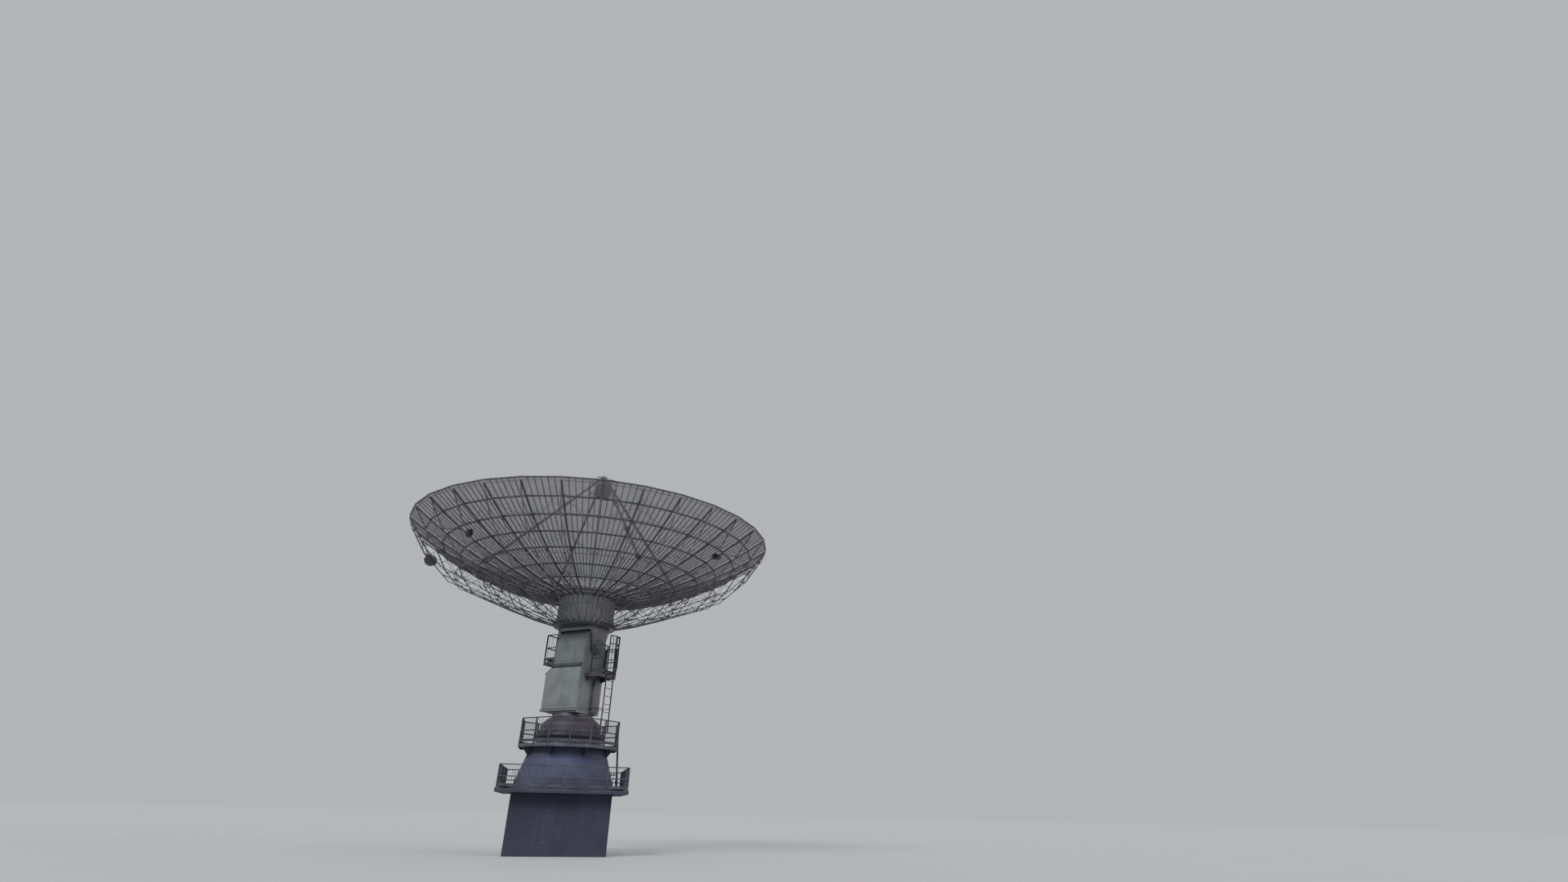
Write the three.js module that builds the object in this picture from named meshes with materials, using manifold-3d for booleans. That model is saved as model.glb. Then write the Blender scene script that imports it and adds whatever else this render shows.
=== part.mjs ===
// Mesh radio telescope dish on an altitude-azimuth mount, stowed pointing straight up.
// Millimetres, +Z up. The origin is on the ground, on the azimuth axis, under the middle of the base.

import * as THREE from 'three';
import { mergeVertices } from 'three/addons/utils/BufferGeometryUtils.js';
import Module from 'manifold-3d';

const wasm = await Module();
wasm.setup();

// Fits
const SEAT_GAP = 0.3;
const AXLE_CLEARANCE = 5;

// Reflector
const DISH_RADIUS = 7500;
const FOCAL_LENGTH = 5500;
const VERTEX_HEIGHT = 9450;
const RIB_COUNT = 32;
const RIB_PITCH = (2 * Math.PI) / RIB_COUNT;
const PURLIN_RADII = [1640, 2690, 3620, 4550, 5340, 6080, 6800];
const PANEL_INNER_RADIUS = 1150;
const SHEET_THICKNESS = 12;
const PURLIN_DEPTH = 50;
const PURLIN_WIDTH = 50;
const RIM_WIDTH = 90;
const PANEL_COUNT = 4;

// Back-up trusses
const SECTOR_COUNT = 8;
const RIBS_PER_SECTOR = RIB_COUNT / SECTOR_COUNT;
const RIB_THICKNESS = 60;
const CHORD_DEPTH = 60;
const WEB_WIDTH = 45;
const RIB_END_RADIUS = 7440;
const RIB_END_DEPTH = 90;
const KEEL = [[1100, -1150], [2500, -720], [3950, -180], [5400, 400], [5950, 610], [6800, 1420], [7270, 2120]];
const TOP_NODES = [1150, 2690, 4550, 6080, 7390];
const KEEL_NODES = [1150, 3620, 5340, 6700];
const KEEL_RING_RADII = [2500, 5400];
const KEEL_RING_SIZE = 46;
const RIM_TUBE_SIZE = 50;

// Hub and yoke
const HUB_RADIUS = 1110;
const HUB_WALL = 22;
const HUB_DEPTH = 1150;
const HUB_TOP = 44.5;
const HUB_PLATE_RADIUS = 1360;
const HUB_PLATE_THICKNESS = 30;
const ELEVATION_AXIS_HEIGHT = 7500;
const SADDLE_THICKNESS = 50;
const SADDLE_HALF_LENGTH = 900;
const SADDLE_HALF_WIDTH = 500;
const CHEEK_THICKNESS = 140;
const CHEEK_FOOT_RADIUS = 330;

// Turret, turned to the azimuth at which it is stowed: its +X side carries the ladder
const STOW_AZIMUTH = -3.5 * RIB_PITCH;
const COLUMN_HALF = 710;
const COLUMN_BOTTOM = 4880;
const COLUMN_WALL = 30;
const HEAD_RADIUS = 710;
const BOSS_RADIUS = 320;
const BOSS_LENGTH = 50;
const PIN_RADIUS = 120;
const CAP_RADIUS = 260;
const CAP_LENGTH = 90;
const CABIN_SIDE = 270;
const CABIN_FRONT = 80;
const CABIN_BOTTOM = 5010;
const CABIN_EAVES = 6400;
const CABIN_TOP = 6650;
const LIP_HEIGHT = 60;
const LIP_REACH = 30;
const RIGHT_PLATFORM_REACH = 650;
const LEFT_PLATFORM_REACH = 790;
const PLATFORM_FRONT = -450;
const PLATFORM_BACK = 700;
const PLATFORM_THICKNESS = 70;
const RIGHT_PLATFORM_LEVEL = 6400;
const LEFT_PLATFORM_LEVEL = 6950;
const PLATFORM_LADDER_Y = 275;
const PLATFORM_LADDER_BOTTOM = 4200;
const PLATFORM_LADDER_TOP = 7950;

// Azimuth bearing
const BEARING_RADIUS = 1250;
const BEARING_TOP = 3990;
const FLANGE_RADIUS = 1350;
const FLANGE_THICKNESS = 110;
const SKIRT_RADIUS = 1180;
const SKIRT_NECK_RADIUS = 775;
const WELL_RADIUS = 1000;
const SKIRT_WALL = 40;
const CASE_WALL = 30;

// Base
const BLOCK_HALF = 1780;
const TERRACE_LEVEL = 2130;
const TERRACE_HALF = 2320;
const TERRACE_THICKNESS = 120;
const CONE_BOTTOM_RADIUS = 1935;
const CONE_TOP_RADIUS = 1430;
const CONE_TOP = 3640;
const GALLERY_HALF = 1850;
const GALLERY_THICKNESS = 60;
const GALLERY_FASCIA = 120;
const GALLERY_LADDER_FOOT = 1985;
const GALLERY_LADDER_LEAN = 0.0785;
const BRACKET_DROP = 330;
const PLATFORM_BRACKET_DROP = 210;
const ROUND_SIDES = 32;

// Railings and ladders
const TERRACE_RAIL = 800;
const GALLERY_RAIL = 930;
const PLATFORM_RAIL = 1100;
const MID_RAIL_SHARE = 0.52;
const KICK_PLATE = [60, 100, 12];
const POST_SIZE = 50;
const RAIL_SIZE = 40;
const POST_SPACING = 820;
const STILE_DEPTH = 50;
const STILE_WIDTH = 30;
const RUNG_SIZE = 26;
const RUNG_PITCH = 300;
const LADDER_WIDTH = 450;

// Feed
const LEG_FOOT_RADIUS = 4400;
const LEG_TUBE_RADIUS = 55;
const LEG_FIRST_RIB = 5.5;
const LEG_AIM = [300, 5400];
const LEG_PAD = 220;
const HEAD_HALF = 110;
const HEAD_BOTTOM = 5515;
const HEAD_TOP = 5705;
const TIP = 5900;
const DRUM_RADIUS = 345;
const DRUM_BOTTOM = 4770;
const DRUM_SHOULDER = 5150;

// Round housings fused to the keels: rib number and radius
const HOUSINGS = [[31, 150], [19, 230], [23, 130]];
const HOUSING_LENGTH = 280;
const HOUSING_PLACE = [6450, 1180];

const paint = (color, roughness, metalness) => new THREE.MeshStandardMaterial({ color, roughness, metalness });
const concrete = paint('#8d9094', 0.9, 0);
const basePaint = paint('#7f8791', 0.6, 0.1);
const turretPaint = paint('#a3aca4', 0.5, 0.1);
const darkPaint = paint('#3b3d44', 0.55, 0.3);
const galvanised = paint('#7c828a', 0.5, 0.7);
const latticePaint = paint('#5d636d', 0.55, 0.5);
const meshAluminium = paint('#767c86', 0.5, 0.7);

// A closed mesh with shared vertices and outward faces, from any three.js geometry.
function closed(geometry) {
  const bare = geometry.clone();
  for (const name of ['normal', 'uv']) bare.deleteAttribute(name);
  const merged = mergeVertices(bare, 1e-3);
  const index = [];
  for (let i = 0; i < merged.index.count; i += 3) {
    const corner = [0, 1, 2].map((k) => merged.index.getX(i + k));
    if (new Set(corner).size === 3) index.push(...corner);
  }
  const p = merged.attributes.position;
  const [a, b, c] = [new THREE.Vector3(), new THREE.Vector3(), new THREE.Vector3()];
  let volume = 0;
  for (let i = 0; i < index.length; i += 3) {
    a.fromBufferAttribute(p, index[i]);
    b.fromBufferAttribute(p, index[i + 1]);
    c.fromBufferAttribute(p, index[i + 2]);
    volume += a.dot(b.cross(c));
  }
  if (volume < 0) index.reverse();
  merged.setIndex(index);
  return merged;
}

function toSolid(geometry) {
  const g = closed(geometry);
  return new wasm.Manifold(new wasm.Mesh({
    numProp: 3,
    vertProperties: new Float32Array(g.attributes.position.array),
    triVerts: new Uint32Array(g.index.array),
  }));
}

function toGeometry(solid) {
  const mesh = solid.getMesh();
  const geometry = new THREE.BufferGeometry();
  geometry.setAttribute('position', new THREE.BufferAttribute(new Float32Array(mesh.vertProperties), 3));
  geometry.setIndex(Array.from(mesh.triVerts));
  return geometry;
}

const join = (...pieces) => toGeometry(pieces.map(toSolid).reduce((sum, piece) => sum.add(piece)));
const cut = (body, ...tools) => toGeometry(tools.map(toSolid).reduce((rest, tool) => rest.subtract(tool), toSolid(body)));

// A box by its low and high corners.
function block([x0, y0, z0], [x1, y1, z1]) {
  return new THREE.BoxGeometry(x1 - x0, y1 - y0, z1 - z0)
    .translate((x0 + x1) / 2, (y0 + y1) / 2, (z0 + z1) / 2);
}

// A straight bar of rectangular section between two points, level across its width.
function bar(from, to, width, depth) {
  const start = new THREE.Vector3(...from);
  const along = new THREE.Vector3(...to).sub(start);
  const length = along.length();
  const x = along.clone().normalize();
  const up = Math.abs(x.z) > 0.999 ? new THREE.Vector3(1, 0, 0) : new THREE.Vector3(0, 0, 1);
  const y = up.cross(x).normalize();
  const z = x.clone().cross(y);
  const frame = new THREE.Matrix4().makeBasis(x, y, z).setPosition(start.addScaledVector(along, 0.5));
  return new THREE.BoxGeometry(length, width, depth).applyMatrix4(frame);
}

// A solid turned about Z from a profile of radius and height that starts and ends on the axis.
function turned(profile, sides = ROUND_SIDES) {
  const points = profile.map(([r, z]) => new THREE.Vector2(r, z));
  return new THREE.LatheGeometry(points, sides, Math.PI / sides).rotateX(Math.PI / 2);
}

// A flat outline in the X-Z plane, extruded along Y.
function upright(outline, y0, y1, holes = []) {
  const corners = outline.map(([x, z]) => new THREE.Vector2(x, z));
  if (THREE.ShapeUtils.isClockWise(corners)) corners.reverse();
  const shape = new THREE.Shape(corners);
  shape.holes = holes.map((hole) => new THREE.Path(hole.map(([x, z]) => new THREE.Vector2(x, z))));
  return new THREE.ExtrudeGeometry(shape, { depth: y1 - y0, bevelEnabled: false, curveSegments: 12 })
    .rotateX(Math.PI / 2).translate(0, y1, 0);
}

// A profile of radius and height carried round Z through stations of angle and stretch.
// The stretch keeps the faces between two ribs flat. A full ring has no end caps.
function swept(profile, stations, full) {
  const position = [];
  for (const [angle, stretch] of stations) {
    for (const [r, z] of profile) position.push(r * stretch * Math.cos(angle), r * stretch * Math.sin(angle), z);
  }
  const n = profile.length;
  const index = [];
  const spans = full ? stations.length : stations.length - 1;
  for (let s = 0; s < spans; s += 1) {
    const here = s * n;
    const next = ((s + 1) % stations.length) * n;
    for (let i = 0; i < n; i += 1) {
      const j = (i + 1) % n;
      index.push(here + i, here + j, next + j, here + i, next + j, next + i);
    }
  }
  if (!full) {
    const cap = THREE.ShapeUtils.triangulateShape(profile.map(([r, z]) => new THREE.Vector2(r, z)), []);
    const last = (stations.length - 1) * n;
    for (const [a, b, c] of cap) index.push(c, b, a, last + a, last + b, last + c);
  }
  const geometry = new THREE.BufferGeometry();
  geometry.setAttribute('position', new THREE.Float32BufferAttribute(position, 3));
  geometry.setIndex(index);
  return geometry;
}

// A full turn with a corner on each of the rib directions.
const ring = (profile) => swept(profile, fullRing(), true);

const add = (group, name, geometry, material) => {
  const mesh = new THREE.Mesh(closed(geometry), material);
  mesh.name = name;
  group.add(mesh);
  return mesh;
};

// Posts, a top rail and a middle rail along lines of corner points, and a kick plate along its own line.
function railing(lines, level, tall, kick) {
  const pieces = [];
  const foot = level + SEAT_GAP;
  const half = POST_SIZE / 2;
  for (const [a, b] of lines.flatMap((line) => line.slice(1).map((point, i) => [line[i], point]))) {
    for (const height of [tall, tall * MID_RAIL_SHARE]) {
      const z = level + height - RAIL_SIZE / 2;
      pieces.push(bar([...a, z], [...b, z], RAIL_SIZE, RAIL_SIZE));
    }
    const bays = Math.max(1, Math.round(Math.hypot(b[0] - a[0], b[1] - a[1]) / POST_SPACING));
    for (let k = 0; k <= bays; k += 1) {
      const [x, y] = [0, 1].map((axis) => a[axis] + ((b[axis] - a[axis]) * k) / bays);
      const post = block([-half, -half, foot], [half, half, level + tall - RAIL_SIZE / 4]);
      pieces.push(post.rotateZ(Math.atan2(b[1] - a[1], b[0] - a[0])).translate(x, y, 0));
    }
  }
  const [low, depth, thickness] = KICK_PLATE;
  for (const [a, b] of kick.slice(1).map((point, i) => [kick[i], point])) {
    const z = level + low + depth / 2;
    pieces.push(bar([...a, z], [...b, z], thickness, depth));
  }
  return join(...pieces);
}

// A ladder standing in the X = x plane: two stiles and square rungs, with level ties to a wall.
function ladder(x, y, bottom, top, ties, lastRung = top) {
  const pieces = [];
  for (const side of [-1, 1]) {
    const at = y + (side * LADDER_WIDTH) / 2;
    const half = STILE_WIDTH / 2;
    pieces.push(block([x, at - half, bottom], [x + STILE_DEPTH, at + half, top]));
    for (const [z, wall] of ties) {
      pieces.push(block([wall, at - half / 2, z - half], [x + STILE_DEPTH / 2, at + half / 2, z + half]));
    }
  }
  for (let z = bottom + RUNG_PITCH / 2; z < lastRung; z += RUNG_PITCH) {
    const [near, far] = [x + (STILE_DEPTH - RUNG_SIZE) / 2, x + (STILE_DEPTH + RUNG_SIZE) / 2];
    pieces.push(block([near, y - LADDER_WIDTH / 2, z], [far, y + LADDER_WIDTH / 2, z + RUNG_SIZE]));
  }
  return join(...pieces);
}

// BASE: masonry block, terrace, cone, gallery and the fixed half of the azimuth bearing

function buildBase() {
  const base = new THREE.Group();
  const slabBottom = TERRACE_LEVEL - TERRACE_THICKNESS;
  add(base, 'base_block', block([-BLOCK_HALF, -BLOCK_HALF, 0], [BLOCK_HALF, BLOCK_HALF, slabBottom - SEAT_GAP]), concrete);
  add(base, 'terrace_slab', block(
    [-TERRACE_HALF, -TERRACE_HALF, slabBottom],
    [TERRACE_HALF, TERRACE_HALF, TERRACE_LEVEL],
  ), concrete);

  const edge = TERRACE_HALF - POST_SIZE;
  const inner = edge - POST_SIZE / 2 - SEAT_GAP - POST_SIZE / 2;
  const gate = LADDER_WIDTH / 2 + POST_SIZE;
  const straight = (name, a, b) => add(base, name, railing([[a, b]], TERRACE_LEVEL, TERRACE_RAIL, [a, b]), galvanised);
  straight('terrace_railing_front', [-edge, -edge], [edge, -edge]);
  straight('terrace_railing_left', [-edge, -inner], [-edge, inner]);
  straight('terrace_railing_right', [edge, -inner], [edge, inner]);
  const back = [[[-edge, edge], [-gate, edge]], [[gate, edge], [edge, edge]]];
  const board = [back[0][0], back[1][1]];
  add(base, 'terrace_railing_back', railing(back, TERRACE_LEVEL, TERRACE_RAIL, board), galvanised);

  const groundTies = [500, 1500].map((z) => [z, BLOCK_HALF + SEAT_GAP]);
  const groundLadder = ladder(
    TERRACE_HALF + SEAT_GAP, 0, 30, TERRACE_LEVEL + TERRACE_RAIL, groundTies, TERRACE_LEVEL - 60,
  );
  add(base, 'ground_ladder', groundLadder.rotateZ(Math.PI / 2), galvanised);

  add(base, 'base_cone', turned([
    [0, TERRACE_LEVEL + SEAT_GAP], [CONE_BOTTOM_RADIUS, TERRACE_LEVEL + SEAT_GAP],
    [CONE_TOP_RADIUS, CONE_TOP], [0, CONE_TOP],
  ]), basePaint);

  add(base, 'gallery_floor', galleryFloor(), basePaint);
  const level = CONE_TOP + SEAT_GAP + GALLERY_THICKNESS;
  add(base, 'gallery_railing', galleryRailing(level), galvanised);
  add(base, 'gallery_ladder', galleryLadder(level), galvanised);
  add(base, 'azimuth_bearing', ring([
    [WELL_RADIUS, CONE_TOP + SEAT_GAP], [BEARING_RADIUS, CONE_TOP + SEAT_GAP],
    [BEARING_RADIUS, BEARING_TOP], [WELL_RADIUS, BEARING_TOP],
  ]), darkPaint);
  return base;
}

// Three mitred rails round eight sides, with posts at the corners, mid-sides and beside the ladder.
function galleryRailing(level) {
  const line = GALLERY_HALF - POST_SIZE / 2 - 10;
  const start = Math.atan2(LADDER_WIDTH / 2 + POST_SIZE, line);
  const turns = [start];
  for (let k = 0.5; k < 8; k += 0.5) turns.push((k * Math.PI) / 4);
  turns.push(2 * Math.PI - start);
  const ahead = (turn) => Math.round(turn / (Math.PI / 4)) * (Math.PI / 4);
  const stretch = (turn) => 1 / Math.cos(turn - ahead(turn));
  const atCorner = (k) => k === 0 || k === turns.length - 1 || k % 2 === 1;
  const stations = turns.filter((_, k) => atCorner(k)).map((turn) => [turn, stretch(turn)]);
  const rail = (middle, half, thickness) => swept([
    [line - thickness / 2, middle - half], [line + thickness / 2, middle - half],
    [line + thickness / 2, middle + half], [line - thickness / 2, middle + half],
  ], stations, false);
  const [low, depth, thickness] = KICK_PLATE;
  const heights = [GALLERY_RAIL, GALLERY_RAIL * MID_RAIL_SHARE];
  const pieces = heights.map((z) => rail(level + z - RAIL_SIZE / 2, RAIL_SIZE / 2, RAIL_SIZE));
  pieces.push(rail(level + low + depth / 2, depth / 2, thickness));
  const half = POST_SIZE / 2;
  for (const turn of turns) {
    const at = line * stretch(turn);
    const post = block([-half, -half, level + SEAT_GAP], [half, half, level + GALLERY_RAIL - RAIL_SIZE / 4]);
    pieces.push(post.translate(at, 0, 0).rotateZ(turn));
  }
  return join(...pieces);
}

// A ladder leaning against the gallery's edge from the terrace, tied to the fascia and to the cone.
function galleryLadder(level) {
  const ties = [[2750, CONE_TOP_RADIUS], [level - GALLERY_FASCIA / 2, GALLERY_HALF - 100]];
  const top = level + GALLERY_RAIL;
  const leaning = ladder(GALLERY_LADDER_FOOT, 0, TERRACE_LEVEL - 50, top, ties, level)
    .translate(-GALLERY_LADDER_FOOT, 0, -TERRACE_LEVEL).rotateY(-GALLERY_LADDER_LEAN)
    .translate(GALLERY_LADDER_FOOT, 0, TERRACE_LEVEL);
  const coneWall = turned([
    [0, TERRACE_LEVEL], [CONE_BOTTOM_RADIUS + 2 * SEAT_GAP, TERRACE_LEVEL],
    [CONE_TOP_RADIUS + 2 * SEAT_GAP, CONE_TOP], [0, CONE_TOP],
  ]);
  const gallery = block([0, -1000, level - 400], [GALLERY_HALF + SEAT_GAP, 1000, level + 20]);
  const below = block([0, -1000, 0], [3000, 1000, TERRACE_LEVEL + SEAT_GAP]);
  return cut(leaning, coneWall, gallery, below);
}

// An eight-sided walkway round the cone's head, with a fascia and eight gusset brackets.
function galleryFloor() {
  const bottom = CONE_TOP + SEAT_GAP;
  const top = bottom + GALLERY_THICKNESS;
  const hole = BEARING_RADIUS + 12;
  const lip = GALLERY_HALF - 40;
  const stretch = 1 / Math.cos(Math.PI / 8);
  const stations = Array.from({ length: 8 }, (_, k) => [(k + 0.5) * (Math.PI / 4), stretch]);
  const plate = swept([
    [hole * 0.9, bottom], [lip, bottom], [lip, top - GALLERY_FASCIA],
    [GALLERY_HALF, top - GALLERY_FASCIA], [GALLERY_HALF, top], [hole * 0.9, top],
  ], stations, true);
  const well = new THREE.CylinderGeometry(hole, hole, 400, ROUND_SIDES).rotateX(Math.PI / 2)
    .rotateZ(Math.PI / ROUND_SIDES).translate(0, 0, CONE_TOP);
  const flat = Math.cos(Math.PI / ROUND_SIDES);
  const slope = (CONE_BOTTOM_RADIUS - CONE_TOP_RADIUS) / (CONE_TOP - TERRACE_LEVEL);
  const wall = (z) => (CONE_TOP_RADIUS + (CONE_TOP - z) * slope) * flat + 2 * SEAT_GAP;
  const foot = CONE_TOP - BRACKET_DROP;
  const gusset = upright([
    [wall(foot), foot], [wall(foot) + 60, foot], [lip + 20, top - GALLERY_FASCIA + 20],
    [lip + 20, bottom + 10], [wall(bottom) + 8, bottom + 10], [wall(bottom) + 8, bottom - 4], [wall(bottom - 4), bottom - 4],
  ], -20, 20);
  const brackets = stations.map(([angle]) => gusset.clone().rotateZ(angle));
  return cut(join(plate, ...brackets), well);
}

// TURRET: everything that turns in azimuth and does not tip

function platform(side, reach, level) {
  const wall = COLUMN_HALF + SEAT_GAP;
  const outer = COLUMN_HALF + reach;
  const floor = block([wall, PLATFORM_FRONT, level - PLATFORM_THICKNESS], [outer, PLATFORM_BACK, level]);
  const gusset = (y) => upright([
    [wall, level - PLATFORM_THICKNESS - PLATFORM_BRACKET_DROP],
    [wall + 60, level - PLATFORM_THICKNESS - PLATFORM_BRACKET_DROP],
    [outer - 120, level - PLATFORM_THICKNESS - 40], [outer - 120, level - PLATFORM_THICKNESS + 10],
    [wall, level - PLATFORM_THICKNESS + 10],
  ], y - 20, y + 20);
  const whole = join(floor, gusset(PLATFORM_FRONT + 150), gusset(PLATFORM_BACK - 150));
  return side > 0 ? whole : whole.scale(-1, 1, 1);
}

// The front rail stops short of the column, clear of the yoke as it tips.
function platformRailing(side, reach, level, gateHalf) {
  const outer = COLUMN_HALF + reach - POST_SIZE / 2;
  const wall = COLUMN_HALF + SEAT_GAP + POST_SIZE;
  const free = COLUMN_HALF + BOSS_LENGTH + CHEEK_THICKNESS + POST_SIZE / 2 + 15;
  const front = PLATFORM_FRONT + POST_SIZE / 2;
  const back = PLATFORM_BACK - POST_SIZE / 2;
  const whole = [[free, front], [outer, front], [outer, back], [wall, back]];
  const lines = gateHalf
    ? [
      [...whole.slice(0, 2), [outer, PLATFORM_LADDER_Y - gateHalf]],
      [[outer, PLATFORM_LADDER_Y + gateHalf], ...whole.slice(2)],
    ]
    : [whole];
  const rails = railing(lines, level, PLATFORM_RAIL, whole);
  return side > 0 ? rails : rails.scale(-1, 1, 1);
}

function column() {
  const axis = ELEVATION_AXIS_HEIGHT;
  const outline = (half, radius, bottom) => {
    const shape = new THREE.Shape();
    shape.moveTo(-half, bottom);
    shape.lineTo(half, bottom);
    shape.lineTo(half, axis);
    shape.absarc(0, axis, radius, 0, Math.PI, false);
    shape.lineTo(-half, bottom);
    return shape;
  };
  const solid = (half, radius, bottom, length) => new THREE.ExtrudeGeometry(
    outline(half, radius, bottom),
    { depth: length, bevelEnabled: false, curveSegments: 16 },
  ).translate(0, 0, -length / 2).rotateX(Math.PI / 2).rotateZ(Math.PI / 2);
  const shell = solid(COLUMN_HALF, HEAD_RADIUS, COLUMN_BOTTOM + SEAT_GAP, 2 * COLUMN_HALF);
  const room = solid(
    COLUMN_HALF - COLUMN_WALL, HEAD_RADIUS - COLUMN_WALL, COLUMN_BOTTOM - 100,
    2 * (COLUMN_HALF - COLUMN_WALL),
  );
  return cut(shell, room);
}

// Equipment casing across the front face and the left face, with a sloping roof and a drip lip.
function cabin() {
  const wall = COLUMN_HALF + SEAT_GAP;
  const left = -wall - CABIN_SIDE;
  const front = -wall - CABIN_FRONT;
  const sideCase = upright([
    [left, CABIN_BOTTOM], [-wall, CABIN_BOTTOM], [-wall, CABIN_TOP], [left, CABIN_EAVES],
  ], front, COLUMN_HALF);
  const frontCase = block([-wall - 5, front, CABIN_BOTTOM], [COLUMN_HALF, -wall, CABIN_TOP - 60]);
  const lipTop = CABIN_BOTTOM + 5;
  const lipBottom = CABIN_BOTTOM - LIP_HEIGHT;
  const sideLip = block([left - LIP_REACH, front - LIP_REACH, lipBottom], [-wall, COLUMN_HALF, lipTop]);
  const frontLip = block([-wall - 5, front - LIP_REACH, lipBottom], [COLUMN_HALF, -wall, lipTop]);
  const room = block(
    [left + CASE_WALL, -COLUMN_HALF + CASE_WALL, CABIN_BOTTOM + CASE_WALL],
    [-COLUMN_HALF, COLUMN_HALF - CASE_WALL, CABIN_EAVES - CASE_WALL],
  );
  return cut(join(sideCase, frontCase, sideLip, frontLip), room);
}

// A stub axle lying along +X: the boss that the yoke cheek runs against, and its pin.
function trunnion(side) {
  const wall = COLUMN_HALF + SEAT_GAP;
  const boss = wall + BOSS_LENGTH;
  const stub = turned([
    [0, wall], [BOSS_RADIUS, wall], [BOSS_RADIUS, boss],
    [PIN_RADIUS, boss], [PIN_RADIUS, boss + CHEEK_THICKNESS - 10], [0, boss + CHEEK_THICKNESS - 10],
  ], 24).rotateY(Math.PI / 2);
  return (side > 0 ? stub : stub.scale(-1, 1, 1)).translate(0, 0, ELEVATION_AXIS_HEIGHT);
}

function buildTurret() {
  const turret = new THREE.Group();
  turret.rotation.z = STOW_AZIMUTH;
  const flangeBottom = BEARING_TOP + SEAT_GAP;
  const flangeTop = flangeBottom + FLANGE_THICKNESS;
  add(turret, 'azimuth_flange', ring([
    [WELL_RADIUS, flangeBottom], [FLANGE_RADIUS, flangeBottom], [FLANGE_RADIUS, flangeTop], [WELL_RADIUS, flangeTop],
  ]), darkPaint);
  const outside = [
    [SKIRT_RADIUS, flangeTop + SEAT_GAP], [SKIRT_RADIUS, 4400], [SKIRT_RADIUS - 60, 4520],
    [SKIRT_RADIUS - 200, 4640], [SKIRT_NECK_RADIUS + 25, 4770], [SKIRT_NECK_RADIUS, COLUMN_BOTTOM],
  ];
  const inside = outside.map(([r, z], i) => [r - SKIRT_WALL, i % 5 === 0 ? z : z - SKIRT_WALL / 2]);
  add(turret, 'turret_skirt', ring([...outside, ...inside.reverse()]), darkPaint);
  add(turret, 'turret_column', column(), turretPaint);
  add(turret, 'equipment_cabin', cabin(), turretPaint);
  add(turret, 'right_platform', platform(1, RIGHT_PLATFORM_REACH, RIGHT_PLATFORM_LEVEL), darkPaint);
  add(turret, 'left_platform', platform(-1, LEFT_PLATFORM_REACH, LEFT_PLATFORM_LEVEL), darkPaint);
  const gateHalf = LADDER_WIDTH / 2 + POST_SIZE;
  add(turret, 'right_railing', platformRailing(
    1, RIGHT_PLATFORM_REACH, RIGHT_PLATFORM_LEVEL, gateHalf,
  ), galvanised);
  add(turret, 'left_railing', platformRailing(
    -1, LEFT_PLATFORM_REACH, LEFT_PLATFORM_LEVEL, 0,
  ), galvanised);
  add(turret, 'platform_ladder', ladder(
    COLUMN_HALF + RIGHT_PLATFORM_REACH + SEAT_GAP, PLATFORM_LADDER_Y, PLATFORM_LADDER_BOTTOM, PLATFORM_LADDER_TOP,
    [[5100, COLUMN_HALF + SEAT_GAP]], RIGHT_PLATFORM_LEVEL - 60,
  ), galvanised);
  add(turret, 'right_trunnion', trunnion(1), darkPaint);
  add(turret, 'left_trunnion', trunnion(-1), darkPaint);
  turret.add(buildDish());
  return turret;
}

// DISH: everything that tips in elevation, in a frame whose origin is the reflector's vertex

// The reflector's section, straight between the purlins.
const SURFACE_RADII = [PANEL_INNER_RADIUS, ...PURLIN_RADII, DISH_RADIUS];
const onParabola = (r) => (r * r) / (4 * FOCAL_LENGTH);

function between(table, r) {
  const last = table.length - 1;
  const k = Math.min(last, Math.max(1, table.findIndex(([at]) => at >= r) === -1 ? last : table.findIndex(([at]) => at >= r)));
  const [[r0, z0], [r1, z1]] = [table[k - 1], table[k]];
  return z0 + ((z1 - z0) * (r - r0)) / (r1 - r0);
}

const SURFACE = SURFACE_RADII.map((r) => [r, onParabola(r)]);
const surface = (r) => between(SURFACE, r);
const keel = (r) => between(KEEL, r);
const chordTop = (r) => surface(r) - SHEET_THICKNESS - PURLIN_DEPTH - SEAT_GAP;

// Sheet and purlins in one profile: each purlin is a square rib under the sheet.
function panelProfile() {
  const top = SURFACE.map(([r, z]) => [r, z]);
  const under = [];
  const half = PURLIN_WIDTH / 2;
  const sheet = (r) => [r, surface(r) - SHEET_THICKNESS];
  const foot = (r) => [r, surface(r) - SHEET_THICKNESS - PURLIN_DEPTH];
  under.push(sheet(PANEL_INNER_RADIUS));
  for (const r of PURLIN_RADII) under.push(sheet(r - half), foot(r - half), foot(r + half), sheet(r + half));
  const rim = DISH_RADIUS - RIM_WIDTH;
  under.push(sheet(rim), foot(rim), foot(DISH_RADIUS));
  return [...under, ...top.reverse()];
}

// Stations of a polygon with a corner on each rib, from one mid-bay to another.
function ribStations(firstRib, count, trim) {
  const flat = Math.cos(RIB_PITCH / 2);
  const stations = [[firstRib * RIB_PITCH + trim, flat / Math.cos(trim)]];
  for (let k = 0; k < count; k += 1) stations.push([(firstRib + k + 0.5) * RIB_PITCH, 1]);
  stations.push([(firstRib + count) * RIB_PITCH - trim, flat / Math.cos(trim)]);
  return stations;
}

const fullRing = () => Array.from({ length: RIB_COUNT }, (_, k) => [(k + 0.5) * RIB_PITCH, 1]);

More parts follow.
